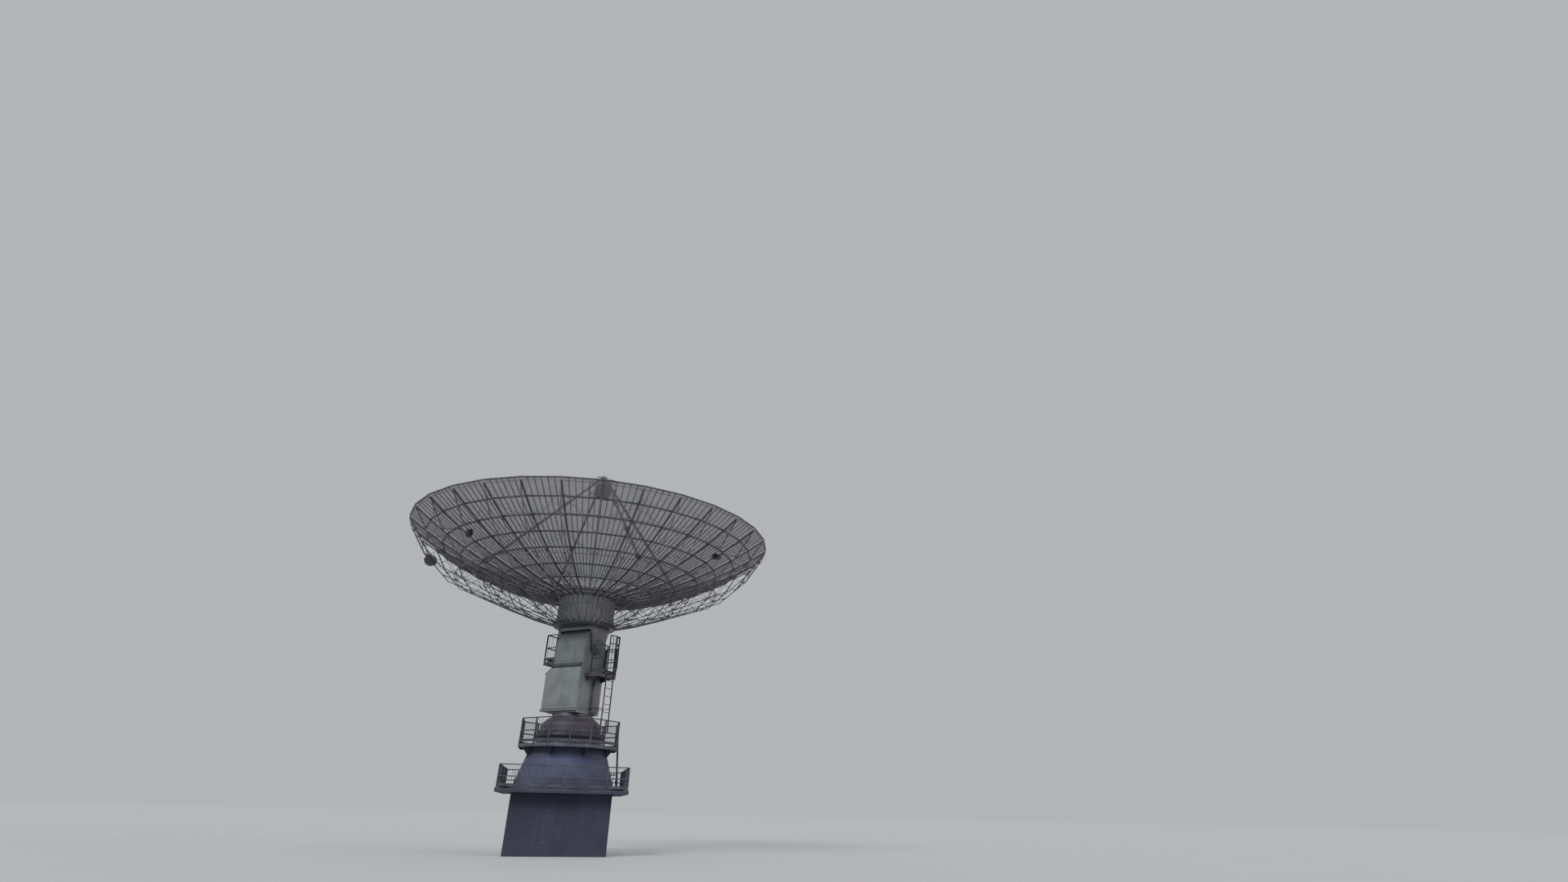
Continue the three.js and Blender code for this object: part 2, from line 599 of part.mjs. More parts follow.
// Where the line through a and b meets the height function over [low, high].
function meet(a, b, height, low, high) {
  const gap = (r) => a[1] + ((b[1] - a[1]) * (r - a[0])) / (b[0] - a[0]) - height(r);
  let [r0, r1] = [low, high];
  for (let i = 0; i < 40; i += 1) {
    const middle = (r0 + r1) / 2;
    if (Math.sign(gap(r0)) === Math.sign(gap(middle))) r0 = middle;
    else r1 = middle;
  }
  return [r0, height(r0)];
}

// Two points moved sideways by a distance, to the left of the way from a to b.
function offset(a, b, distance) {
  const length = Math.hypot(b[0] - a[0], b[1] - a[1]);
  const [nx, nz] = [-(b[1] - a[1]) / length, (b[0] - a[0]) / length];
  return [a, b].map(([x, z]) => [x + nx * distance, z + nz * distance]);
}

function crossing([a, b], [c, d]) {
  const [ux, uz, vx, vz] = [b[0] - a[0], b[1] - a[1], d[0] - c[0], d[1] - c[1]];
  const t = ((c[0] - a[0]) * vz - (c[1] - a[1]) * vx) / (ux * vz - uz * vx);
  return [a[0] + ux * t, a[1] + uz * t];
}

// One radial truss: a plate with the triangles between its chords and web bars cut out.
function ribPlate() {
  const root = HUB_RADIUS * Math.cos(RIB_PITCH / 2) + SEAT_GAP;
  const top = [root, ...PURLIN_RADII, RIB_END_RADIUS].map((r) => [r, chordTop(r)]);
  const end = [RIB_END_RADIUS, chordTop(RIB_END_RADIUS) - RIB_END_DEPTH];
  const bottom = KEEL.slice(1).reverse();
  const outline = [[root, keel(root)], ...top, end, ...bottom];
  const ceiling = (r) => chordTop(r) - CHORD_DEPTH;
  const floor = (r) => keel(r) + CHORD_DEPTH;
  const topNode = (i) => [TOP_NODES[i], chordTop(TOP_NODES[i]) - CHORD_DEPTH / 2];
  const keelNode = (i) => [KEEL_NODES[i], keel(KEEL_NODES[i]) + CHORD_DEPTH / 2];
  const webs = [[keelNode(0), [TOP_NODES[0] + 1, topNode(0)[1]]]];
  for (let i = 0; i < KEEL_NODES.length; i += 1) {
    webs.push([keelNode(i), topNode(i + 1)]);
    if (i + 1 < KEEL_NODES.length) webs.push([keelNode(i + 1), topNode(i + 1)]);
  }
  const kinksBetween = (radii, low, high) => radii.filter((r) => r > low + 1 && r < high - 1);
  const holes = [];
  for (let k = 0; k + 1 < webs.length; k += 1) {
    const left = offset(...webs[k], -WEB_WIDTH / 2);
    const right = offset(...webs[k + 1], WEB_WIDTH / 2);
    const apex = crossing(left, right);
    if (k % 2 === 0) {
      const a = meet(...left, ceiling, Math.min(left[0][0], left[1][0]) - 60, Math.max(left[0][0], left[1][0]) + 60);
      const b = meet(...right, ceiling, Math.min(right[0][0], right[1][0]), Math.max(right[0][0], right[1][0]));
      const kinks = kinksBetween(PURLIN_RADII, a[0], b[0]).map((r) => [r, ceiling(r)]);
      holes.push([apex, a, ...kinks, b]);
    } else {
      const a = meet(...left, floor, Math.min(left[0][0], left[1][0]), Math.max(left[0][0], left[1][0]));
      const b = meet(...right, floor, Math.min(right[0][0], right[1][0]), Math.max(right[0][0], right[1][0]));
      const kinks = kinksBetween(KEEL.map(([r]) => r), a[0], b[0]).map((r) => [r, floor(r)]);
      holes.push([apex, a, ...kinks, b]);
    }
  }
  return upright(outline, -RIB_THICKNESS / 2, RIB_THICKNESS / 2, holes);
}

// Four radial trusses tied by two rings along their keels.
function trussSector(sector) {
  const first = sector * RIBS_PER_SECTOR;
  const plate = ribPlate();
  const ribs = Array.from({ length: RIBS_PER_SECTOR }, (_, k) => plate.clone().rotateZ((first + k + 0.5) * RIB_PITCH));
  const half = KEEL_RING_SIZE / 2;
  const rings = KEEL_RING_RADII.map((r) => {
    const z = keel(r) + CHORD_DEPTH / 2;
    const section = [[r - half, z - half], [r + half, z - half], [r + half, z + half], [r - half, z + half]];
    return swept(section, ribStations(first, RIBS_PER_SECTOR, 0.0003), false);
  });
  const mine = HOUSINGS.filter(([rib]) => rib >= first && rib < first + RIBS_PER_SECTOR);
  const housings = mine.map(([rib, radius]) => new THREE.CylinderGeometry(radius, radius, HOUSING_LENGTH, 16)
    .translate(HOUSING_PLACE[0], HOUSING_LENGTH / 2, HOUSING_PLACE[1])
    .rotateZ((rib + 0.5) * RIB_PITCH));
  return join(...ribs, ...rings, ...housings);
}

// A 32-sided drum whose flats carry the trusses, on a wider round plate.
function hub() {
  const profile = [
    [HUB_RADIUS - HUB_WALL, -HUB_DEPTH - 5], [HUB_RADIUS, -HUB_DEPTH - 5], [HUB_RADIUS, HUB_TOP],
    [HUB_RADIUS - HUB_WALL, HUB_TOP],
  ];
  const stations = Array.from({ length: RIB_COUNT }, (_, k) => [k * RIB_PITCH, 1]);
  const plate = turned([
    [0, -HUB_DEPTH - HUB_PLATE_THICKNESS], [HUB_PLATE_RADIUS, -HUB_DEPTH - HUB_PLATE_THICKNESS],
    [HUB_PLATE_RADIUS, -HUB_DEPTH - SEAT_GAP], [0, -HUB_DEPTH - SEAT_GAP],
  ]);
  return join(swept(profile, stations, true), plate);
}

// The middle of the reflector, resting on the drum's edge.
function vertexPanel() {
  const edge = PANEL_INNER_RADIUS - SEAT_GAP;
  const top = surface(edge);
  return turned([[0, 3 - SHEET_THICKNESS], [edge, top - SHEET_THICKNESS], [edge, top], [0, 3]]);
}

// A flat saddle under the hub and two cheeks, each with a blind bore under a round cap for its axle.
function yoke() {
  const axis = ELEVATION_AXIS_HEIGHT - VERTEX_HEIGHT;
  const top = -HUB_DEPTH - HUB_PLATE_THICKNESS - SEAT_GAP;
  const saddle = block(
    [-SADDLE_HALF_LENGTH, -SADDLE_HALF_WIDTH, top - SADDLE_THICKNESS],
    [SADDLE_HALF_LENGTH, SADDLE_HALF_WIDTH, top],
  );
  const inner = COLUMN_HALF + 2 * SEAT_GAP + BOSS_LENGTH;
  const outer = inner + CHEEK_THICKNESS;
  const shape = new THREE.Shape();
  shape.moveTo(SADDLE_HALF_WIDTH, top - 10);
  shape.lineTo(-SADDLE_HALF_WIDTH, top - 10);
  shape.lineTo(-SADDLE_HALF_WIDTH, top - 180);
  shape.absarc(0, axis, CHEEK_FOOT_RADIUS, Math.PI, 2 * Math.PI, false);
  shape.lineTo(SADDLE_HALF_WIDTH, top - 180);
  const cheek = new THREE.ExtrudeGeometry(shape, { depth: CHEEK_THICKNESS, bevelEnabled: false, curveSegments: 12 })
    .rotateX(Math.PI / 2).rotateZ(Math.PI / 2).translate(inner, 0, 0);
  const bore = turned([
    [0, inner - 50], [PIN_RADIUS + AXLE_CLEARANCE, inner - 50], [PIN_RADIUS + AXLE_CLEARANCE, outer - 4], [0, outer - 4],
  ], 24).rotateY(Math.PI / 2).translate(0, 0, axis);
  const cap = turned([
    [0, outer - 4], [CAP_RADIUS, outer - 4], [CAP_RADIUS, outer + CAP_LENGTH - 20],
    [CAP_RADIUS - 20, outer + CAP_LENGTH], [0, outer + CAP_LENGTH],
  ], 24).rotateY(Math.PI / 2).translate(0, 0, axis);
  const arm = join(cut(cheek, bore), cap);
  return join(saddle, arm, arm.clone().scale(-1, 1, 1));
}

// A feed leg in the X-Z plane: a foot pad on the panel, and a tube up to the head's face.
function feedLeg() {
  const slope = (surface(LEG_FOOT_RADIUS + 100) - surface(LEG_FOOT_RADIUS - 100)) / 200;
  const lift = (LEG_PAD / 2) * Math.tan(RIB_PITCH / 2) * slope + 2 * SEAT_GAP;
  const tilt = Math.atan(slope);
  const footHeight = surface(LEG_FOOT_RADIUS) + lift;
  const pad = new THREE.BoxGeometry(LEG_PAD, LEG_PAD, 16).translate(0, 0, 8).rotateY(-tilt)
    .translate(LEG_FOOT_RADIUS, 0, footHeight);
  const face = HEAD_HALF + SEAT_GAP;
  const start = new THREE.Vector3(LEG_FOOT_RADIUS, 0, footHeight + 6);
  const along = new THREE.Vector3(LEG_AIM[0], 0, LEG_AIM[1]).sub(start);
  const reach = along.length() + 450;
  const tube = new THREE.CylinderGeometry(LEG_TUBE_RADIUS, LEG_TUBE_RADIUS, reach, 8)
    .rotateX(Math.PI / 2).translate(0, 0, reach / 2).rotateY(Math.atan2(along.x, along.z))
    .translate(start.x, start.y, start.z);
  const beyond = block([-600, -300, 4000], [face, 300, 6500]);
  const underPad = block([-400, -300, -400], [400, 300, 0]).rotateY(-tilt).translate(LEG_FOOT_RADIUS, 0, footHeight);
  return cut(join(pad, tube), beyond, underPad);
}

// The block where the four legs meet, with a lightning rod.
function feedHead() {
  const head = block([-HEAD_HALF, -HEAD_HALF, HEAD_BOTTOM], [HEAD_HALF, HEAD_HALF, HEAD_TOP]);
  const rod = new THREE.CylinderGeometry(10, 22, TIP - HEAD_TOP + 10, 8).rotateX(Math.PI / 2)
    .translate(0, 0, (TIP + HEAD_TOP - 10) / 2);
  return join(head, rod);
}

// The receiver's drum hung under the head by its neck, with the horn's mouth looking down.
function feedDrum() {
  return turned([
    [0, DRUM_BOTTOM + 160], [90, DRUM_BOTTOM + 160], [210, DRUM_BOTTOM], [DRUM_RADIUS, DRUM_BOTTOM],
    [DRUM_RADIUS, DRUM_SHOULDER], [150, 5400], [60, 5430], [60, HEAD_BOTTOM - SEAT_GAP],
    [0, HEAD_BOTTOM - SEAT_GAP],
  ], 24);
}

function buildDish() {
  const dish = new THREE.Group();
  dish.position.z = VERTEX_HEIGHT;
  add(dish, 'hub', hub(), latticePaint);
  add(dish, 'yoke', yoke(), turretPaint);
  add(dish, 'vertex_panel', vertexPanel(), meshAluminium);
  for (let sector = 0; sector < SECTOR_COUNT; sector += 1) {
    add(dish, `truss_sector_${sector + 1}`, trussSector(sector), latticePaint);
  }
  const ribsPerPanel = RIB_COUNT / PANEL_COUNT;
  for (let k = 0; k < PANEL_COUNT; k += 1) {
    const stations = ribStations(k * ribsPerPanel, ribsPerPanel, 0.0002);
    add(dish, `reflector_quarter_${k + 1}`, swept(panelProfile(), stations, false), meshAluminium);
  }
  const rimInner = RIB_END_RADIUS + (RIB_THICKNESS / 2) * Math.tan(RIB_PITCH / 2) + SEAT_GAP;
  const rimLow = chordTop(RIB_END_RADIUS) - RIB_END_DEPTH + 5;
  add(dish, 'rim_tube', ring([
    [rimInner, rimLow], [rimInner + RIM_TUBE_SIZE, rimLow],
    [rimInner + RIM_TUBE_SIZE, rimLow + RIM_TUBE_SIZE], [rimInner, rimLow + RIM_TUBE_SIZE],
  ]), latticePaint);
  const legTurn = (k) => LEG_FIRST_RIB * RIB_PITCH + (k * Math.PI) / 2;
  for (let k = 0; k < 4; k += 1) {
    add(dish, `feed_leg_${k + 1}`, feedLeg().rotateZ(legTurn(k)), latticePaint);
  }
  add(dish, 'feed_head', feedHead().rotateZ(legTurn(0)), latticePaint);
  add(dish, 'feed_drum', feedDrum(), darkPaint);
  return dish;
}

const telescope = new THREE.Group();
telescope.name = 'radio_telescope_dish';
telescope.add(buildBase());
telescope.add(buildTurret());

export default telescope;
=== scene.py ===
"""Mesh radio telescope dish, stowed pointing straight up: its looks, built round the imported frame. Metres, +Z up."""

import math

import bmesh
import bpy
from mathutils import Matrix, Vector


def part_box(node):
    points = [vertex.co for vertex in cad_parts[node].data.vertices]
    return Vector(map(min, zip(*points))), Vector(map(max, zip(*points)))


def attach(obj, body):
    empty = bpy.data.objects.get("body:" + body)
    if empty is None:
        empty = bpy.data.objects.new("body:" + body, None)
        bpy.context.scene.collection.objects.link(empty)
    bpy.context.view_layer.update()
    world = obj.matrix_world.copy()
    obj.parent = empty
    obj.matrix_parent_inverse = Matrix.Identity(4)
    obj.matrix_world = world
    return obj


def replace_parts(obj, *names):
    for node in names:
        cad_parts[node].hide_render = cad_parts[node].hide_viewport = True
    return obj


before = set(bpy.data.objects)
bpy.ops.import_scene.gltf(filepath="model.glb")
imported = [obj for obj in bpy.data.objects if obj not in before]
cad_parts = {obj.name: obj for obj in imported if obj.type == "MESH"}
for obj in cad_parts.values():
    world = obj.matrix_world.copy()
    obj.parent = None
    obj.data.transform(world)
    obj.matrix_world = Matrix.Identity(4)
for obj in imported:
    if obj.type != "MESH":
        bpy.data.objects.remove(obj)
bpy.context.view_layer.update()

# VIEW: an eye-level camera 33 m in front of the plinth, looking up and a little to the right, so the
# telescope stands left of the middle and its bowl is seen from underneath. The sensor is in millimetres,
# and the picture's width and the focal length are in pixels.
EYE = (0, -33.106, 1.5)
SENSOR_WIDTH = 36
PICTURE_WIDTH, FOCAL_LENGTH = 1920, 933
turn, rise, lean = (math.radians(degrees) for degrees in (14.3, 26.07, 1.17))
ahead = Vector((math.sin(turn) * math.cos(rise), math.cos(turn) * math.cos(rise), math.sin(rise)))
level = Vector((math.cos(turn), -math.sin(turn), 0))
over = level.cross(ahead)
right = math.cos(lean) * level + math.sin(lean) * over
above = -math.sin(lean) * level + math.cos(lean) * over
lens = bpy.data.cameras.new("view")
lens.sensor_width = SENSOR_WIDTH
lens.lens = FOCAL_LENGTH / PICTURE_WIDTH * SENSOR_WIDTH
lens.clip_start, lens.clip_end = 0.1, 2000
view = bpy.data.objects.new("view", lens)
view.matrix_world = Matrix.Translation(EYE) @ Matrix((right, above, -ahead)).transposed().to_4x4()
bpy.context.scene.collection.objects.link(view)
bpy.context.scene.camera = view

# LIGHT: a pale, even studio sky, one broad soft key from the left front and a weak one from the right.
sky = bpy.data.worlds.new("studio_sky")
sky.use_nodes = True
sky.node_tree.nodes["Background"].inputs["Color"].default_value = (0.84, 0.86, 0.89, 1)
sky.node_tree.nodes["Background"].inputs["Strength"].default_value = 0.75
bpy.context.scene.world = sky
for name, strength, spread, tone, aim in (
    ("soft_key", 2.0, 26, (0.97, 1.0, 0.995), (math.radians(54), 0, math.radians(-40))),
    ("soft_fill", 0.7, 40, (1.0, 0.90, 0.95), (math.radians(66), 0, math.radians(60))),
):
    lamp = bpy.data.lights.new(name, "SUN")
    lamp.energy, lamp.angle, lamp.color = strength, math.radians(spread), tone
    shine = bpy.data.objects.new(name, lamp)
    shine.rotation_euler = aim
    bpy.context.scene.collection.objects.link(shine)


# GROUND: the plain pale studio floor under the plinth. Its matt finish is the first that is wired up,
# from a class whose objects each stand for one output socket of a finish.
class Wire:
    def __init__(self, tree, socket=None):
        self.tree, self.socket = tree, socket

    def node(self, kind, out=0, settings=None, **feeds):
        """A new node's output. The feeds are values or wires, by a socket's name, or by in and its number."""
        made = self.tree.nodes.new("ShaderNode" + kind)
        for name, value in (settings or {}).items():
            setattr(made, name, value)
        for name, value in feeds.items():
            socket = made.inputs[int(name[2:])] if name[:2] == "in" else made.inputs[name.replace("_", " ")]
            if isinstance(value, Wire):
                self.tree.links.new(value.socket, socket)
            else:
                socket.default_value = value
        return Wire(self.tree, made.outputs[out])

    def maths(self, operation, *terms):
        return self.node("Math", settings={"operation": operation}, **{f"in{i}": t for i, t in enumerate(terms)})

    def __add__(self, other): return self.maths("ADD", self, other)
    def __radd__(self, other): return self.maths("ADD", other, self)
    def __sub__(self, other): return self.maths("SUBTRACT", self, other)
    def __rsub__(self, other): return self.maths("SUBTRACT", other, self)
    def __mul__(self, other): return self.maths("MULTIPLY", self, other)
    def __rmul__(self, other): return self.maths("MULTIPLY", other, self)
    def __truediv__(self, other): return self.maths("DIVIDE", self, other)
    def __rtruediv__(self, other): return self.maths("DIVIDE", other, self)
    def __or__(self, other): return self.maths("MAXIMUM", self, other)
    def __abs__(self): return self.maths("ABSOLUTE", self)

    def axis(self, number):
        return self.node("SeparateXYZ", out=number, Vector=self)

    def ramp(self, low, high):
        """0 below the low value, 1 above the high one, and a smooth rise between."""
        return self.node("MapRange", settings={"interpolation_type": "SMOOTHSTEP"},
                         Value=self, From_Min=low, From_Max=high)

    def blend(self, low, high):
        """From one colour to another as this wire goes from 0 to 1."""
        return self.node("Mix", out=2, settings={"data_type": "RGBA"}, in0=self, in6=low, in7=high)

    def stretched(self, x, y, z):
        return self.node("Mapping", Vector=self, Scale=(x, y, z))

    def cloud(self, scale, detail=3.0):
        return self.node("TexNoise", Vector=self, Scale=scale, Detail=detail, Roughness=0.6)

    def lines(self, pitch, width, shift=0.0):
        """1 in narrow lines at every pitch along this wire, else 0."""
        off = abs(self.maths("FRACT", self / pitch + shift) - 0.5)
        return 1 - off.ramp(width / pitch * 0.4, width / pitch * 0.6)


def tint(red, green, blue):
    """A paint chart's colour as the light that it reflects."""
    return (red ** 2.2, green ** 2.2, blue ** 2.2, 1)


def begin(name, metallic=0.0):
    """A new finish, and the wire of the place on the object."""
    finish = bpy.data.materials.new(name)
    finish.use_nodes = True
    finish.node_tree.nodes["Principled BSDF"].inputs["Metallic"].default_value = metallic
    return finish, Wire(finish.node_tree).node("TexCoord", out="Object")


def apply(finish, colour, roughness, relief=None, depth=0.002, **rest):
    """Wires up the finish's shader, with a relief of that depth in metres."""
    shader = finish.node_tree.nodes["Principled BSDF"]
    rest.update({"Base Color": colour, "Roughness": roughness})
    if relief is not None:
        rest["Normal"] = relief.node("Bump", Height=relief, Distance=depth, Strength=1.0)
    for name, value in rest.items():
        finish.node_tree.links.new(value.socket, shader.inputs[name])
    return finish


bm = bmesh.new()
bmesh.ops.create_grid(bm, x_segments=1, y_segments=1, size=400)
floor_mesh = bpy.data.meshes.new("studio_floor")
bm.to_mesh(floor_mesh)
bm.free()
floor = bpy.data.objects.new("studio_floor", floor_mesh)
bpy.context.scene.collection.objects.link(floor)
pale_floor, place = begin("pale_floor")
apply(pale_floor, place.cloud(0.4).blend(tint(0.79, 0.79, 0.80), tint(0.82, 0.82, 0.83)), place.cloud(3.0) * 0.1 + 0.8)
floor_mesh.materials.append(pale_floor)


# PLINTH: a square block of dark slate-blue concrete, cast in two lifts between plywood panels. The holes
# of the formwork ties are plugged with mortar, and water has streaked its faces.
def concrete(name, pale, dark, lift, panel):
    """Cast concrete: lift and panel joints, rain streaks, blow holes and a sandy grain."""
    finish, place = begin(name)
    seams = place.axis(2).lines(lift, 0.016, 0.21)
    for side in (0, 1):
        seams |= place.axis(side).lines(panel, 0.014)
    patches = place.cloud(0.9, 5.0).ramp(0.35, 0.7)
    rain = place.stretched(5, 5, 0.35).cloud(1.6, 4.0).ramp(0.48, 0.75)
    grain = place.cloud(55.0, 4.0)
    holes = 1 - place.node("TexVoronoi", Vector=place, Scale=19.0).ramp(0.05, 0.12)
    colour = (patches * 0.55 + rain * 0.3 + grain * 0.2).blend(pale, dark)
    colour = (seams * 0.5 + holes * 0.35).blend(colour, tint(0.12, 0.12, 0.15))
    return apply(finish, colour, 0.72 + grain * 0.2, grain * 0.35 - seams - holes * 0.7, 0.006)


def settle(bm, name, body, finish, crease=50, turn_faces=True):
    """The mesh becomes a piece that rides on a body and takes the given finish. Faces that meet at less than
    the crease, in degrees, are shaded as one curve."""
    if turn_faces:
        bmesh.ops.recalc_face_normals(bm, faces=bm.faces)
    mesh = bpy.data.meshes.new(name)
    bm.to_mesh(mesh)
    bm.free()
    mesh.shade_smooth()
    mesh.set_sharp_from_angle(angle=math.radians(crease))
    mesh.materials.append(finish)
    piece = bpy.data.objects.new(name, mesh)
    bpy.context.scene.collection.objects.link(piece)
    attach(piece, body)
    return piece


def rework(node, name, body, finish, rounding=0.0, crease=25):
    """A merged copy of a CAD node with rounded edges and smooth curves, in the node's place."""
    bm = bmesh.new()
    bm.from_mesh(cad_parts[node].data)
    bmesh.ops.remove_doubles(bm, verts=bm.verts, dist=0.0001)
    bmesh.ops.dissolve_limit(bm, angle_limit=math.radians(0.5), verts=bm.verts, edges=bm.edges)
    if rounding:
        sharp = [edge for edge in bm.edges if edge.is_manifold and edge.calc_face_angle() > math.radians(30)]
        bmesh.ops.bevel(bm, geom=sharp, offset=rounding, offset_type="OFFSET", segments=2, profile=0.5,
                        affect="EDGES", material=-1, clamp_overlap=True)
    piece = settle(bm, name, body, finish, crease, turn_faces=False)
    if piece.data.has_custom_normals:
        piece.data.attributes.remove(piece.data.attributes["custom_normal"])
    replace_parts(piece, node)


def between(start, end):
    """A place midway between two points, its Z along them and its X level, and their distance."""
    start, end = Vector(start), Vector(end)
    z = (end - start).normalized()
    x = Vector((0, 0, 1)).cross(z)
    x = x.normalized() if x.length > 1e-4 else Vector((1, 0, 0))
    place = Matrix.Translation((start + end) / 2) @ Matrix((x, z.cross(x), z)).transposed().to_4x4()
    return place, (end - start).length


def rod(bm, start, end, radius, sides=8):
    """A straight bar of round section from one point to another."""
    middle, length = between(start, end)
    bmesh.ops.create_cone(bm, cap_ends=True, segments=sides, radius1=radius, radius2=radius,
                          depth=length, matrix=middle)


block_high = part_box("base_block")[1]
BLOCK_LIFT, BLOCK_PANEL = 1.005, 1.187
slate = concrete("slate_blue_concrete", tint(0.28, 0.28, 0.36), tint(0.19, 0.19, 0.26), BLOCK_LIFT, BLOCK_PANEL)
rework("base_block", "plinth_block", "base", slate, 0.018)
TIES_ACROSS, TIES_UP = (-1.3, -0.44, 0.44, 1.3), (0.45, 1.45)
TIE_RADIUS, TIE_ENDS = 0.024, (0.01, -0.0015)
bm = bmesh.new()
for side in range(4):
    facing = Matrix.Rotation(side * math.pi / 2, 3, "Z")
    for x in TIES_ACROSS:
        for z in TIES_UP:
            inside, outside = (facing @ Vector((x, end - block_high.x, z)) for end in TIE_ENDS)
            rod(bm, inside, outside, TIE_RADIUS, 16)
mortar = concrete("tie_plug_mortar", tint(0.33, 0.33, 0.40), tint(0.27, 0.27, 0.34), 9.0, 9.0)
settle(bm, "plinth_tie_plugs", "base", mortar)


# TERRACE: a concrete slab that overhangs the plinth, its top edge guarded by a galvanised steel angle
# that is cast in with it.
def galvanised(name, bright, dull, roughness):
    """Hot-dip zinc: spangle crystals under a dull weathered bloom, and rain runs."""
    finish, place = begin(name, 0.3)
    spangle = place.node("SeparateColor", Color=place.node("TexVoronoi", out="Color", Vector=place, Scale=38.0))
    bloom = place.cloud(3.2, 5.0).ramp(0.3, 0.7)
    runs = place.stretched(14, 14, 1).cloud(1.2).ramp(0.5, 0.8)
    shade = (bloom * 0.6 + spangle * 0.25 + runs * 0.2).blend(bright, dull)
    return apply(finish, shade, roughness + bloom * 0.2 + spangle * 0.08, spangle * 0.5 + bloom, 0.0008)


def box(bm, low, high, place=Matrix(), chamfer=0.0):
    """A block between two corners, with its edges rounded off if a chamfer is given."""
    low, high = Vector(low), Vector(high)
    made = bmesh.ops.create_cube(bm, size=1, matrix=place @ Matrix.Translation((low + high) / 2)
                                 @ Matrix.Diagonal((*(high - low), 1)))
    if chamfer:
        edges = {edge for vert in made["verts"] for edge in vert.link_edges}
        bmesh.ops.bevel(bm, geom=list(edges), offset=chamfer, offset_type="OFFSET", segments=2, profile=0.5,
                        affect="EDGES", material=-1)


slab_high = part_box("terrace_slab")[1]
slab_concrete = concrete("terrace_concrete", tint(0.31, 0.31, 0.38), tint(0.21, 0.21, 0.27), 5.0, 1.547)
rework("terrace_slab", "terrace_deck", "base", slab_concrete, 0.012)
zinc = galvanised("weathered_zinc", tint(0.31, 0.31, 0.345), tint(0.205, 0.205, 0.235), 0.48)
bm = bmesh.new()
half, deck = slab_high.x, slab_high.z
THICK, FACE_LEG, TOP_LEG, SUNK = 0.004, 0.05, 0.018, 0.001
for side in range(4):
    facing = Matrix.Rotation(side * math.pi / 2, 4, "Z")
    box(bm, (-half - THICK, -half - THICK, deck - FACE_LEG), (half + THICK, -half + SUNK, deck + THICK), facing)
    box(bm, (-half, -half, deck - SUNK), (half, -half + TOP_LEG, deck + THICK), facing)
settle(bm, "terrace_edge_angle", "base", zinc)


# TERRACE RAILING: square posts on bolted shoes, two rails and a kick plate, with close upright bars
# between, all welded and dipped in zinc.
TERRACE_RAIL, GATE_HALF, KICK_PLATE_TOP, RAIL_DEPTH = 0.80, 0.275, 0.13, 0.035


def bolt(bm, foot, way, radius, height=0.014):
    """A hexagon head that stands on a point and rises along a way."""
    rod(bm, foot, Vector(foot) + Vector(way).normalized() * height, radius, 6)


def guard(bm, start, end, floor, tall, bays, pitch, radius, shoes=True):
    """Upright bars between the posts of a straight railing, and a bolted shoe under each post."""
    start, end = Vector((*start, floor)), Vector((*end, floor))
    bay = (end - start) / bays
    for k in range(bays + 1):
        post = start + bay * k
        if shoes:
            shoe = Matrix.Translation(post) @ Matrix.Rotation(math.atan2(bay.y, bay.x), 4, "Z")
            box(bm, (-0.055, -0.045, 0.0005), (0.055, 0.045, 0.010), shoe)
            for x, y in ((-1, 1), (1, 1), (-1, -1), (1, -1)):
                bolt(bm, shoe @ Vector((0.040 * x, 0.032 * y, 0.010)), (0, 0, 1), 0.009, 0.010)
        if k < bays:
            bars = max(1, round(bay.length / pitch) - 1)
            for i in range(1, bars + 1):
                foot = post + bay * i / (bars + 1)
                rod(bm, foot + Vector((0, 0, KICK_PLATE_TOP)), foot + Vector((0, 0, tall - RAIL_DEPTH)), radius, 6)


line = half - 0.05
for name, lines in {
    "front": [((-line, -line), (line, -line), 6)],
    "left": [((-line, -line + 0.05), (-line, line - 0.05), 5)],
    "right": [((line, -line + 0.05), (line, line - 0.05), 5)],
    "back": [((-line, line), (-GATE_HALF, line), 2), ((GATE_HALF, line), (line, line), 2)],
}.items():
    rework(f"terrace_railing_{name}", f"terrace_rails_{name}", "base", zinc, 0.004)
    bm = bmesh.new()
    for start, end, bays in lines:
        guard(bm, start, end, deck, TERRACE_RAIL, bays, 0.10, 0.009)
    settle(bm, f"terrace_bars_{name}", "base", zinc)

# GROUND LADDER: two flat stiles and square rungs, held off the plinth by level arms whose foot plates
# are bolted to the concrete.
rework("ground_ladder", "ground_ladder_frame", "base", zinc, 0.003)
LADDER_HALF, WALL_ARMS = 0.225, (0.5, 1.5)
bm = bmesh.new()
wall = block_high.y
for z in WALL_ARMS:
    for x in (-LADDER_HALF, LADDER_HALF):
        for side in (-1, 1):
            middle = x + side * 0.033
            box(bm, (middle - 0.017, wall + 0.0005, z - 0.07), (middle + 0.017, wall + 0.010, z + 0.07))
            for up in (-0.05, 0.05):
                bolt(bm, (middle, wall + 0.010, z + up), (0, 1, 0), 0.010)
settle(bm, "ground_ladder_plates", "base", zinc)


# CONE: a tapering pedestal of concrete, slate blue like the plinth, with a cove of mortar round its foot
# and a steel collar at its head. Large round pieces are spun in 96 fine steps.
FINE = 96


def hoop(bm, profile, steps=32, first=0.0, place=Matrix()):
    """A closed profile of radii and heights, spun once round Z and then set in its place."""
    others = set(bm.verts)
    corners = [bm.verts.new((r, 0, z)) for r, z in profile]
    edges = [bm.edges.new((corners[i - 1], corners[i])) for i in range(len(corners))]
    bmesh.ops.rotate(bm, verts=corners, cent=(0, 0, 0), matrix=Matrix.Rotation(first, 3, "Z"))
    bmesh.ops.spin(bm, geom=corners + edges, cent=(0, 0, 0), axis=(0, 0, 1), angle=math.tau,
                   steps=steps, use_merge=True)
    bmesh.ops.transform(bm, matrix=place, verts=[vert for vert in bm.verts if vert not in others])


